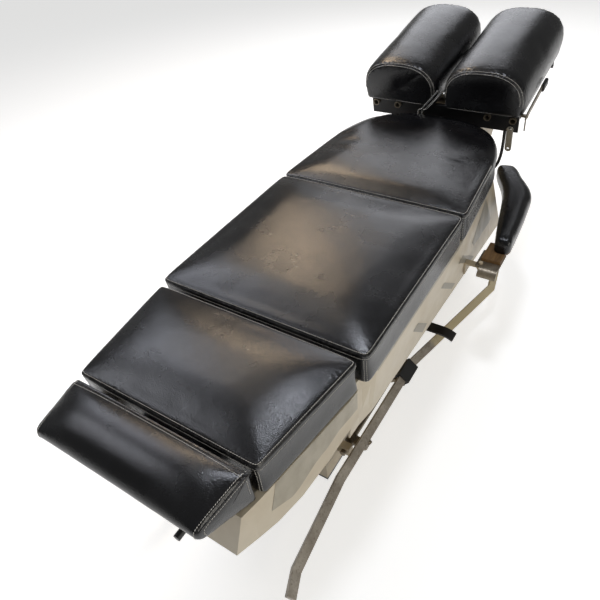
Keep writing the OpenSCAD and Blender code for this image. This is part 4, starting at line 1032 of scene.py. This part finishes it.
@dataclass(frozen=True)
class LoafForm:
    """Sizes of one D-section head cushion in the frame of the tilted head rest."""

    name: str
    node: str
    middle: float
    body: str = "head_carriage"
    half: float = 0.1255
    near: float = -0.110
    length: float = 0.437
    low: float = 0.037
    depth: float = 0.134
    power: float = 2.5
    side_share: float = 0.3
    seam_at: float = 0.009

    def section(self, lift: float = 0.0) -> Array:
        """The D section, from its lower right corner over the top and back along the underside.

        The sides rise straight to a share of the depth and the top is the superellipse
        |x|^p + |z|^p = 1 above it; the sides draw in towards the board below.

        Args:
            lift: how much higher than the depth the top is.

        Returns:
            (n, 2) places, across and above the board.
        """
        a = np.linspace(0, math.pi, 55)
        c, s = np.cos(a), np.sin(a).clip(0)
        x = self.half * np.sign(c) * np.abs(c) ** (2 / self.power)
        z = self.depth * (self.side_share + (1 - self.side_share) * s ** (2 / self.power)) + lift
        side = np.array([[0.9, 0.0], [0.952, 0.0015], [0.968, 0.006], [0.976, 0.016],
                         [0.988, 0.028]])
        side[:, 0] *= self.half
        under = np.column_stack([np.linspace(-0.78, 0.78, 9) * self.half, np.zeros(9)])
        return np.vstack([side, np.stack([x, z], axis=1), side[::-1] * (-1, 1), under])

    def ring(self, distance: float, share: float, lift: float = 0.0) -> Array:
        """The section at a distance along the cushion, scaled about a point low in it.

        Args:
            distance: from the near end of the cushion.
            share: the section's scale.
            lift: how much higher than the depth the top is.

        Returns:
            (n, 3) places in the head rest's frame.
        """
        d = self.section(lift)
        middle = self.depth * 0.36
        local = np.stack([self.middle + d[:, 0] * share, np.full(len(d), self.near + distance),
                          self.low + middle + (d[:, 1] - middle) * share], axis=1)
        local[:, 2] = np.maximum(local[:, 2], self.low)
        return local

    def share(self, distance: float) -> float:
        """Scale of the section at a distance past the near seam."""
        gone = min(distance, self.length - 2 * self.seam_at - distance)
        return 1.0 - 0.075 * math.exp(-max(gone, 0.0) / 0.011)

    def cover(self) -> Cover:
        """The cover: the near face, the loaf and the far face.

        A face bulges out and meets the loaf at a seam, seam_at from the cushion's end. The loaf
        is scaled by 1 - 0.075 exp(-d / 11 mm), d being the distance from the seam, and rises by
        3 mm sin(pi h)^0.7 at the share h of its length.

        Returns:
            The cover.
        """
        face = [(0.0, 0.12), (0.0, 0.33), (0.0003, 0.52), (0.0012, 0.68), (0.0026, 0.79),
                (0.0048, 0.87), (0.0072, 0.91)]
        seam_at, long = self.seam_at, self.length - 2 * self.seam_at
        body = seam_at + long * (0.5 - 0.5 * np.cos(np.linspace(0, math.pi, 52)))
        far = [(self.length - d, s) for d, s in face[::-1]]
        lift = 0.003 * np.sin(math.pi * (body - seam_at) / long) ** 0.7
        rings = [self.ring(d, s) for d, s in face]
        rings += [self.ring(d, self.share(d - seam_at), up) for d, up in zip(body, lift)]
        rings += [self.ring(d, s) for d, s in far]
        points = np.stack(rings)[:, ::-1]
        falls = np.array([0.12, 0.09, 0.065, 0.043, 0.025, 0.013, 0.006])
        ends = np.concatenate([falls, np.minimum(body - seam_at, self.length - seam_at - body),
                               falls[::-1]])
        count = points.shape[1]
        high = points[..., 2] - self.low
        seam = ends[:, None] + 0.05 * (1 - blend(0.02, 0.045, high))
        free = blend(0.0, 0.03, ends)[:, None] * blend(0.01, 0.05, high)
        held = (ends < 1e-6)[:, None] | (high < 0.004)
        return Cover(HEAD.place(points).reshape(-1, 3), ring_faces(len(points), count),
                     seam.ravel(), free.ravel(), held.ravel(), 0.0015, 0.017)

    def stitching(self) -> List[Stitching]:
        """Two lines over each end, one on either side of the seam.

        Returns:
            The lines.
        """
        lines = []
        for distance, share in ((0.0125, self.share(0.0035) + 0.002), (0.0062, 0.895)):
            for end in (distance, self.length - distance):
                ring = self.ring(end, share)[5:60]
                lines.append(Stitching(HEAD.place(resample(ring, 0.002, False))))
        return lines


@dataclass(frozen=True)
class ArmPadForm:
    """Sizes of one arm pad: a section carried from its foot end to its head end.

    Each station gives the inner and the outer edge's X and Y in millimetres.
    """

    name: str
    node: str
    body: str
    side: Side
    low: float = 0.3525
    depth: float = 0.047
    stations: Tuple[Tuple[float, float, float, float], ...] = (
        (326, 157.5, 343, 157.5), (319, 158.5, 350, 158.5), (313.5, 163, 355, 163),
        (311, 172, 358, 172), (306, 192, 358, 192), (297, 230, 357, 236),
        (286, 280, 354, 300), (277, 325, 350.5, 345), (268, 366, 347, 386), (259, 402, 343, 421),
        (246, 440, 331, 454), (231, 474, 313, 483), (213, 508, 287, 521), (200, 536, 267, 551),
        (194.5, 553, 254, 567), (194, 564, 245, 576), (197, 573, 238, 580),
        (205, 579, 230, 583.5))

    def cover(self) -> Cover:
        """The cover: one section at each station.

        At the angle a round a section a point is half |cos a|^0.5 across, and at 0.45 + 0.55
        |sin a|^0.62 of the height, or at 0.45 - 0.45 |sin a|^0.3 on the lower side. The height
        is depth (1 - 0.42 exp(-e / 7 mm)), e being the distance from the nearer end.

        Returns:
            The cover.
        """
        rows = smooth_path(np.array(self.stations) * MM, 5)
        length = arc_length((rows[:, :2] + rows[:, 2:]) / 2)
        end = np.minimum(length, length[-1] - length)
        a = np.linspace(0, 2 * math.pi, 48, endpoint=False)
        c, s = np.cos(a), np.sin(a)
        across = np.sign(c) * np.abs(c) ** 0.5
        rise = np.where(s > 0, 0.45 + 0.55 * np.abs(s) ** 0.62, 0.45 - 0.45 * np.abs(s) ** 0.3)
        mid, half = (rows[:, :2] + rows[:, 2:]) / 2, (rows[:, 2:] - rows[:, :2]) / 2
        xy = mid[:, None, :] + across[None, :, None] * half[:, None, :] * 0.985
        height = self.depth * (1 - 0.42 * np.exp(-end / 0.007))
        z = self.low + rise[None, :] * height[:, None]
        points = np.concatenate([xy, z[..., None]], axis=-1)[:, ::-1]
        points[..., 0] *= self.side.value
        if self.side is Side.LEFT:
            points = points[:, ::-1]
        high = points[..., 2] - self.low
        free = 0.6 * blend(0.004, 0.02, high)
        return Cover(points.reshape(-1, 3), ring_faces(len(points), 48),
                     np.full(high.size, FAR), free.ravel(), (high < 0.003).ravel())

    def stitching(self) -> List[Stitching]:
        """The pads have no stitches that show."""
        return []


@dataclass
class Upholsterer:
    """Stuffs, creases and stitches covers.

    A cloth run of so many frames swells the cover by air pressure, and no point moves by more
    than cap.
    """

    cap: float = 0.0035
    pressure: float = 4.0
    frames: int = 20

    @staticmethod
    def write(obj: bpy.types.Object, points: Array) -> None:
        """Writes the piece's points."""
        obj.data.vertices.foreach_set("co", points.astype(np.float32).ravel())
        obj.data.update()

    @staticmethod
    def layer(obj: bpy.types.Object, name: str, values: Array) -> None:
        """Writes one number for each point as an attribute of the given name."""
        data = obj.data.attributes.new(name, "FLOAT", "POINT").data
        data.foreach_set("value", values.astype(np.float32))

    @staticmethod
    def apply(obj: bpy.types.Object) -> None:
        """Turns the piece's modifiers into mesh.

        Args:
            obj: the piece.
        """
        graph = bpy.context.evaluated_depsgraph_get()
        mesh = bpy.data.meshes.new_from_object(obj.evaluated_get(graph))
        obj.modifiers.clear()
        obj.data = mesh

    @staticmethod
    def even(obj: bpy.types.Object, values: Array, rounds: int) -> Array:
        """Evens out a value over the mesh.

        Args:
            obj: the piece.
            values: one row for each point.
            rounds: how often each row becomes the mean of itself and its neighbours' mean.

        Returns:
            The evened rows.
        """
        a, b = numbers_of(obj.data.edges, "vertices", 2, np.int32).T
        near = np.bincount(np.concatenate([a, b]), minlength=len(values))[:, None]
        for _ in range(rounds):
            total = np.zeros_like(values)
            np.add.at(total, a, values[b])
            np.add.at(total, b, values[a])
            values = 0.5 * values + 0.5 * total / near
        return values

    def stuff(self, obj: bpy.types.Object, cover: Cover) -> None:
        """Lets air pressure swell the cover as cloth, then limits how far its points moved.

        A point moves by its step in the cloth run, cut to the cap and evened out, times its
        free share.

        Args:
            obj: the cover's piece.
            cover: what the piece was made from.
        """
        pins = obj.vertex_groups.new(name="held")
        pins.add(np.nonzero(cover.held)[0].tolist(), 1.0, "REPLACE")
        mod = obj.modifiers.new("cloth", "CLOTH")
        cloth = mod.settings
        cloth.vertex_group_mass = "held"
        cloth.use_pressure = True
        cloth.uniform_pressure_force = self.pressure
        cloth.effector_weights.gravity = 0.0
        cloth.quality = 4
        cloth.mass = 0.4
        cloth.tension_stiffness = 25.0
        cloth.compression_stiffness = 25.0
        cloth.bending_stiffness = 0.8
        scene = bpy.context.scene
        for step in range(1, self.frames + 1):
            scene.frame_set(step)
        self.apply(obj)
        scene.frame_set(1)
        obj.vertex_groups.clear()
        move = numbers_of(obj.data.vertices, "co", 3) - cover.points
        size = np.linalg.norm(move, axis=1)
        move *= (np.minimum(size, self.cap) / np.maximum(size, 1e-9))[:, None]
        move = self.even(obj, move, 3) * cover.free[:, None]
        self.write(obj, cover.points + move)

    def crease(self, obj: bpy.types.Object, cover: Cover, groove: float = 0.0022) -> None:
        """Sinks the seams, gathers the cover beside them and leaves it a little uneven.

        With d the distance from the seam, a point moves along its outward direction by
        -groove exp(-(d / 3 mm)^2) + gather exp(-d / 14 mm) wave + 0.12 mm slow wave.

        Args:
            obj: the stuffed cover.
            cover: what the piece was made from.
            groove: the seam's depth.
        """
        self.layer(obj, "seam", cover.seam)
        sub = obj.modifiers.new("fine", "SUBSURF")
        sub.levels = sub.render_levels = 1
        self.apply(obj)
        points = numbers_of(obj.data.vertices, "co", 3)
        out = numbers_of(obj.data.vertex_normals, "vector", 3)
        d = numbers_of(obj.data.attributes["seam"].data, "value", 1)[:, 0]
        obj.data.attributes.remove(obj.data.attributes["seam"])
        step = (-groove * np.exp(-(d / 0.003) ** 2)
                + cover.gather * np.exp(-d / 0.014) * (1 - np.exp(-(d / 0.004) ** 2))
                * (ripple(points, cover.gather_pitch) + 0.6 * ripple(points + 3.1, 0.009))
                + 0.00012 * np.clip(d / 0.03, 0, 1) * (ripple(points, 0.095)
                                                       + 0.4 * ripple(points + 1.7, 0.04)))
        self.write(obj, points + out * step[:, None])
        self.layer(obj, "wear", np.exp(-(d / 0.006) ** 2))
        obj.data.polygons.foreach_set("use_smooth", np.full(len(obj.data.polygons), True))

    def settle(self, obj: bpy.types.Object, places: Array) -> Tuple[Array, Array]:
        """Drops places onto a cover.

        A place goes onto the plane through the cover's nearest point, square to the outward
        direction there.

        Args:
            obj: the finished cover.
            places: (n, 3) places close to it.

        Returns:
            The settled places and their outward directions.
        """
        points = numbers_of(obj.data.vertices, "co", 3)
        out = numbers_of(obj.data.vertex_normals, "vector", 3)
        low, high = places.min(axis=0) - 0.02, places.max(axis=0) + 0.02
        keep = np.nonzero(((points > low) & (points < high)).all(axis=1))[0]
        best, some = np.empty(len(places), dtype=int), 64
        for start in range(0, len(places), some):
            part = places[start:start + some]
            gap = ((part[:, None, :] - points[None, keep, :]) ** 2).sum(axis=2)
            best[start:start + some] = keep[gap.argmin(axis=1)]
        n = out[best]
        rise = ((places - points[best]) * n).sum(axis=1)[:, None]
        return places - n * rise, n

    def stitch(self, obj: bpy.types.Object, lines: Sequence[Stitching], pitch: float = 0.0046,
               radius: float = 0.00055) -> bpy.types.Object:
        """Lays short threads along lines on the cover.

        Each thread is a five-sided spindle 0.78 of the pitch long, laid along its line and
        slanted a little, with half of it sunk into the cover.

        Args:
            obj: the finished cover.
            lines: lines close to the surface.
            pitch: distance from one stitch to the next.
            radius: the thread's radius.

        Returns:
            One piece with all the threads.
        """
        rows, steps = [], []
        for item in lines:
            at = resample(item.line, pitch, item.closed)
            rows.append(at)
            steps.append((np.roll(at, -1, axis=0) - np.roll(at, 1, axis=0)) if item.closed
                         else np.gradient(at, axis=0))
        c, n = self.settle(obj, np.vstack(rows))
        t = np.vstack(steps)
        t -= n * (t * n).sum(axis=1)[:, None]
        t /= np.linalg.norm(t, axis=1)[:, None]
        b = np.cross(n, t)
        t = t * 0.993 + b * 0.12
        sides, places, widths = 5, np.array([-0.39, -0.28, 0.28, 0.39]), np.array([.3, 1, 1, .3])
        turn = np.linspace(0, 2 * math.pi, sides, endpoint=False)
        wide = (np.cos(turn)[None, :] * widths[:, None] * radius)[None, :, :, None]
        tall = (np.sin(turn)[None, :] * widths[:, None] * radius + radius * 0.35)[None, :, :, None]
        points = (c[:, None, None, :] + t[:, None, None, :] * (places * pitch)[None, :, None, None]
                  + b[:, None, None, :] * wide + n[:, None, None, :] * tall).reshape(-1, 3)
        first = (np.arange(len(c)) * 4 * sides)[:, None, None]
        quads = (grid_faces(4, sides, True)[None] + first).reshape(-1, 4)
        caps = np.array([list(range(sides))[::-1], [3 * sides + i for i in range(sides)]])
        ends = (caps[None] + first).reshape(-1, sides)
        return mesh_object(obj.name + "_stitches", points, quads.tolist() + ends.tolist())


class Upholstery:
    """The body cushions, the ankle bolster, the head cushions and the arm pads."""

    def __init__(self, finishes: Finishes) -> None:
        """Sets out every padded piece.

        Args:
            finishes: the table's finishes.
        """
        self.shop = Upholsterer()
        self.finishes = finishes
        self.forms = [
            BoxedForm("chest_pad", "chest_cushion", "table_base", 0.270, 0.234, 0.0015, 0.5095,
                      round_head=2.6, roll=0.018),
            BoxedForm("pelvic_pad", "pelvic_cushion", "pelvic_section", 0.268, 0.268, -0.5215,
                      -0.0015, crown=0.0075),
            BoxedForm("leg_pad", "leg_cushion", "leg_section", 0.2195, 0.256, -0.8155, -0.5335,
                      low=0.4748, cells=(66, 46)),
            BolsterForm(),
            LoafForm("head_pad_right", "head_cushion_right", 0.1355, depth=0.137),
            LoafForm("head_pad_left", "head_cushion_left", -0.1355),
            ArmPadForm("arm_pad_right", "armrest_pad_right", "armrest_right", Side.RIGHT),
            ArmPadForm("arm_pad_left", "armrest_pad_left", "armrest_left", Side.LEFT),
        ]

    def build(self) -> None:
        """Builds every padded piece, with its stitches riding along."""
        for form in self.forms:
            cover = form.cover()
            obj = mesh_object(form.name, cover.points, cover.faces)
            self.shop.stuff(obj, cover)
            self.shop.crease(obj, cover)
            self.finishes.fit(obj, "black_upholstery", form.body)
            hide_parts(form.node)
            if form.stitching():
                self.finishes.fit(self.shop.stitch(obj, form.stitching()), "thread", form.body)


@dataclass
class Steelwork:
    """Finishes for the CAD's own metal, wood and plastic pieces, and the control cable."""

    frame: dict
    finishes: Finishes

    CABLE = ((188, 600, 530), (188, 600, 515), (189, 599, 490), (190, 597, 460), (190, 595, 430),
             (188, 592, 405), (183, 590, 384), (174, 588, 367), (162, 586, 355), (150, 585, 350),
             (140, 585, 350))
    OWN = {"foot_bar_right": "bar_steel", "foot_bar_left": "bar_steel",
           "hanging_link": "bright_steel"}

    def dress_all(self) -> None:
        """Gives every CAD node the finish of its slot, or its own."""
        slots = {s["node"]: s["material_slot"] for s in self.frame["record"]["subparts"]}
        for name, obj in self.frame["nodes"].items():
            self.finishes.dress(obj, self.OWN.get(name, slots[name]))
            LOG.info("%s: %s", name, obj.data.materials[0].name)

    def cable(self) -> None:
        """The control cable as a smooth round tube on the CAD's own route."""
        path = smooth_path(np.array(self.CABLE) * MM, 6)
        piece = tube("control_cable_hose", path, radius=0.005)
        self.finishes.fit(piece, "black_rubber", "table_base")
        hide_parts("control_cable")


@dataclass
class Stripes:
    """Plain grey stripes and blocks of vinyl stuck on the shells, and a grey band of painted shade
    along the shell's rim under the cushions.

    Each is a grid of rows by columns that stands off the shell by lift.
    """

    frame: dict
    finishes: Finishes
    lift: float = 0.0006
    columns: int = 70
    rows: int = 20

    LEG_LOW = ((-813, 421), (-766, 405), (-743, 407), (-717, 411), (-667, 418), (-620, 420),
               (-579, 421), (-541, 416))
    LEG_RIM = ((-786, 472.6), (-541, 472.6))
    # Edges of the band of painted shade that the cushions cast on the shell's rim
    SHELL_RIM = (((-500, 463), (300, 463)), ((-500, 475.5), (300, 475.5)))
    BLOCKS = {
        "block_{}_0": (((158, 294), (200, 288)), ((22, 390), (60, 391))),
        "block_{}_1": (((10, 307), (36, 308)), ((-102, 400), (-79, 402))),
        "block_{}_2": (((-192, 319), (-168, 331)), ((-270, 396), (-243, 401))),
        "patch_{}": (((178, 341), (349, 330)), ((149, 372), (247, 462))),
    }

    def outer(self, node: str, plan: Array, side: Side) -> Array:
        """X of a node's outer face at places in the side view.

        For every place and every triangle, the shares w1 and w2 of the triangle's second and
        third corner are worked out in the side view, and the outermost triangle that holds the
        place gives X.

        Args:
            node: the shell's node.
            plan: (n, 2) places, Y and Z.
            side: which side of the table.

        Returns:
            X for each place.
        """
        mesh = self.frame["nodes"][node].data
        mesh.calc_loop_triangles()
        corners = numbers_of(mesh.vertices, "co", 3)[
            numbers_of(mesh.loop_triangles, "vertices", 3, np.int32)]
        a, b, c = corners[:, 0], corners[:, 1], corners[:, 2]
        e, f = (b - a)[:, 1:], (c - a)[:, 1:]
        det = e[:, 0] * f[:, 1] - e[:, 1] * f[:, 0]
        keep = np.abs(det) > 1e-10
        a, b, c, e, f, det = (item[keep] for item in (a, b, c, e, f, det))
        out, some = np.empty(len(plan)), 200
        for start in range(0, len(plan), some):
            g = plan[start:start + some, None, :] - a[None, :, 1:]
            w1 = (g[..., 0] * f[:, 1] - g[..., 1] * f[:, 0]) / det
            w2 = (e[:, 0] * g[..., 1] - e[:, 1] * g[..., 0]) / det
            inside = (w1 > -1e-3) & (w2 > -1e-3) & (w1 + w2 < 1.001)
            x = (a[:, 0] + w1 * (b - a)[:, 0] + w2 * (c - a)[:, 0]) * side.value
            out[start:start + some] = np.where(inside, x, -1.0).max(axis=1)
        good = out > 0
        index = np.arange(len(out))
        return np.interp(index, index[good], out[good]) * side.value

    def lay(self, name: str, low: Sequence, high: Sequence, node: str, side: Side, body: str,
            finish: str = "grey_stripe") -> None:
        """Lays one stripe on a shell.

        The stripe is the grid (1 - v) low(u) + v high(u) in the side view, on the shell's
        outer face.

        Args:
            name: the piece's name.
            low: the lower edge's points, Y and Z in millimetres.
            high: the upper edge's points.
            node: the shell's node.
            side: which side of the table.
            body: the body it rides on.
            finish: the stripe's finish.
        """
        u = np.linspace(0, 1, self.columns)
        edges = [np.asarray(edge, float) * MM for edge in (low, high)]
        rows = [np.stack([np.interp(u * arc_length(e)[-1], arc_length(e), e[:, k])
                          for k in (0, 1)], axis=1) for e in edges]
        v = np.linspace(0, 1, self.rows)[:, None, None]
        plan = ((1 - v) * rows[0][None] + v * rows[1][None]).reshape(-1, 2)
        x = self.outer(node, plan, side) + self.lift * side.value
        faces = grid_faces(self.rows, self.columns, False)
        if side is Side.LEFT:
            faces = faces[:, ::-1]
        piece = mesh_object(name, np.column_stack([x, plan]), faces)
        self.finishes.fit(piece, finish, body)

    def build(self) -> None:
        """Lays every stripe on both sides."""
        for side in Side:
            tag = side.name.lower()
            shell = "shell_" + tag
            self.lay("leg_stripe_" + tag, self.LEG_LOW, self.LEG_RIM, "leg_shell", side,
                     "leg_section")
            # The grey band along the shell's rim, just under the cushions, is painted shade of the
            # cushions
            self.lay("rim_stripe_" + tag, *self.SHELL_RIM, shell, side, "table_base")
            for name, edges in self.BLOCKS.items():
                self.lay(name.format(tag), *edges, shell, side, "table_base", "grey_block")


@dataclass
class ShellLedge:
    """The leg shell's inner ledge: a thin moulded flange just under its rim on either side.

    It reaches in from the rim by width, and its faces are at the heights top and bottom.
    """

    finishes: Finishes
    width: float = 0.044
    top: float = 0.469
    bottom: float = 0.466

    RIM = ((255, -555), (253, -572.5), (242, -655.5), (229, -744.5), (221, -802.5),
           (215, -837.5), (210, -864))

    def build(self) -> None:
        """Builds one ledge on each side."""
        for side in Side:
            rim = np.array(self.RIM) * MM
            edge = np.stack([rim[:, 0] - 0.003, rim[:, 0] - self.width], axis=1)
            x = edge[:, [0, 1, 1, 0]] * side.value
            y = np.repeat(rim[:, 1:], 4, axis=1)
            z = np.tile([self.top, self.top, self.bottom, self.bottom], (len(rim), 1))
            points = np.stack([x, y, z], axis=-1)
            if side is Side.LEFT:
                points = points[:, ::-1]
            piece = mesh_object("leg_shell_ledge_" + side.name.lower(), points.reshape(-1, 3),
                                ring_faces(len(rim), 4), False)
            self.finishes.fit(piece, "beige_shell", "leg_section")


@dataclass(frozen=True)
class Lamp:
    """One round area lamp: its place, size across, share of a white's brightness, colour."""

    name: str
    place: Tuple[float, float, float]
    size: float
    share: float
    colour: str = "ffffff"
    aim: Tuple[float, float, float] = (0.0, -0.2, 0.5)


@dataclass(frozen=True)
class Studio:
    """Floor, lamps, surround and camera."""

    focal_px: float = 547.2
    frame_px: float = 600.0
    azimuth: float = math.radians(37.8)
    pitch: float = math.radians(41.9)
    roll: float = math.radians(-8.0)
    place: Tuple[float, float, float] = (0.603, -1.132, 1.347)
    around: float = 0.2
    lamps: Tuple[Lamp, ...] = (
        Lamp("overhead", (0.1, 0.1, 2.65), 0.36, 0.34, "eef3ff"),
        Lamp("warm_far", (-1.6, 1.7, 2.6), 0.55, 0.16, "ffe4c4"),
        Lamp("warm_near", (-1.26, 0.67, 2.6), 0.5, 0.07, "fff0dc"),
        Lamp("cool_left", (-2.05, 0.35, 2.6), 1.1, 0.19, "eef2ff"),
        Lamp("foot_left", (-1.75, -1.1, 2.6), 1.1, 0.18, "f2f5ff"),
        Lamp("right_fill", (2.6, -1.2, 1.4), 1.6, 0.30, "fffaf0"),
        Lamp("back_panel", (-0.85, 2.9, 2.05), 2.0, 0.20, "f6f8ff"),
    )

    def camera(self) -> None:
        """Sets the camera that the photograph's lines give."""
        ca, sa = math.cos(self.azimuth), math.sin(self.azimuth)
        cp, sp = math.cos(self.pitch), math.sin(self.pitch)
        forward = Vector((-sa * cp, ca * cp, -sp))
        right = Vector((ca, sa, 0))
        up = right.cross(forward)
        cr, sr = math.cos(self.roll), math.sin(self.roll)
        across, above = right * cr + up * sr, up * cr - right * sr
        data = bpy.data.cameras.new("camera")
        data.sensor_width = 36.0
        data.lens = 36.0 * self.focal_px / self.frame_px
        data.clip_end = 50.0
        cam = bpy.data.objects.new("camera", data)
        cam.matrix_world = Matrix((
            (across.x, above.x, -forward.x, self.place[0]),
            (across.y, above.y, -forward.y, self.place[1]),
            (across.z, above.z, -forward.z, self.place[2]),
            (0, 0, 0, 1)))
        bpy.context.collection.objects.link(cam)
        bpy.context.scene.camera = cam

    def light(self, lamp: Lamp) -> None:
        """Adds one lamp; at distance d a share s of a white's brightness takes pi^2 d^2 s W.

        Args:
            lamp: the lamp's sizes.
        """
        data = bpy.data.lights.new(lamp.name, "AREA")
        aim = Vector(lamp.aim) - Vector(lamp.place)
        data.shape = "DISK"
        data.size = lamp.size
        data.energy = math.pi ** 2 * aim.length_squared * lamp.share
        data.color = linear(lamp.colour)[:3]
        obj = bpy.data.objects.new(lamp.name, data)
        obj.location = lamp.place
        obj.rotation_euler = aim.to_track_quat("-Z", "Y").to_euler()
        bpy.context.collection.objects.link(obj)

    def floor(self) -> None:
        """Lays a pale seamless paper floor.

        Where the camera, or a glossy or clear surface, sees it, it gives off a little light of
        its own, so that it comes out white and still keeps the shadow.
        """
        s = Shade("floor_paper")
        tone = s.add("ShaderNodeTexNoise", {"Vector": s.place, "Scale": per(700)})
        s.finish({"Roughness": 0.9},
                 Base_Color=s.coats("e8e8e6", (tone.outputs["Fac"], "ececea")))
        path = s.add("ShaderNodeLightPath")
        seen = s.add("ShaderNodeMath", {0: path.outputs["Is Camera Ray"],
                                        1: path.outputs["Is Glossy Ray"]}, operation="ADD")
        seen = s.add("ShaderNodeMath", {0: seen.outputs[0],
                                        1: path.outputs["Is Transmission Ray"]},
                     operation="ADD", use_clamp=True)
        own = s.add("ShaderNodeMath", {0: seen.outputs[0], 1: 0.58}, operation="MULTIPLY")
        glow = s.add("ShaderNodeEmission", {"Strength": own.outputs[0]})
        both = s.add("ShaderNodeAddShader", {0: s.shader.outputs[0], 1: glow.outputs[0]})
        s.tree.links.new(both.outputs[0], s.tree.nodes["Material Output"].inputs["Surface"])
        points = np.array([[-15, -15, 0], [15, -15, 0], [15, 15, 0], [-15, 15, 0]], float)
        obj = mesh_object("floor", points, [[0, 1, 2, 3]], False)
        obj.data.materials.append(s.material)

    def world(self) -> None:
        """Sets an even pale surround."""
        world = bpy.data.worlds.new("world")
        world.use_nodes = True
        back = world.node_tree.nodes["Background"]
        back.inputs["Color"].default_value = linear("f7f7f5")
        back.inputs["Strength"].default_value = self.around
        bpy.context.scene.world = world

    def build(self) -> None:
        """Builds the whole studio."""
        self.camera()
        self.floor()
        self.world()
        for lamp in self.lamps:
            self.light(lamp)
        bpy.context.scene.view_settings.view_transform = "Standard"
        LOG.info("studio: %d lamps", len(self.lamps))


def main() -> None:
    """Builds the dressed table."""
    logging.basicConfig(level=logging.INFO, format="%(name)s: %(message)s")
    for obj in list(bpy.data.objects):
        bpy.data.objects.remove(obj)
    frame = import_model()
    Studio().build()
    finishes = Finishes()
    steel = Steelwork(frame, finishes)
    steel.dress_all()
    steel.cable()
    Upholstery(finishes).build()
    Stripes(frame, finishes).build()
    ShellLedge(finishes).build()
    bpy.context.view_layer.update()


if __name__ == "__main__":
    main()
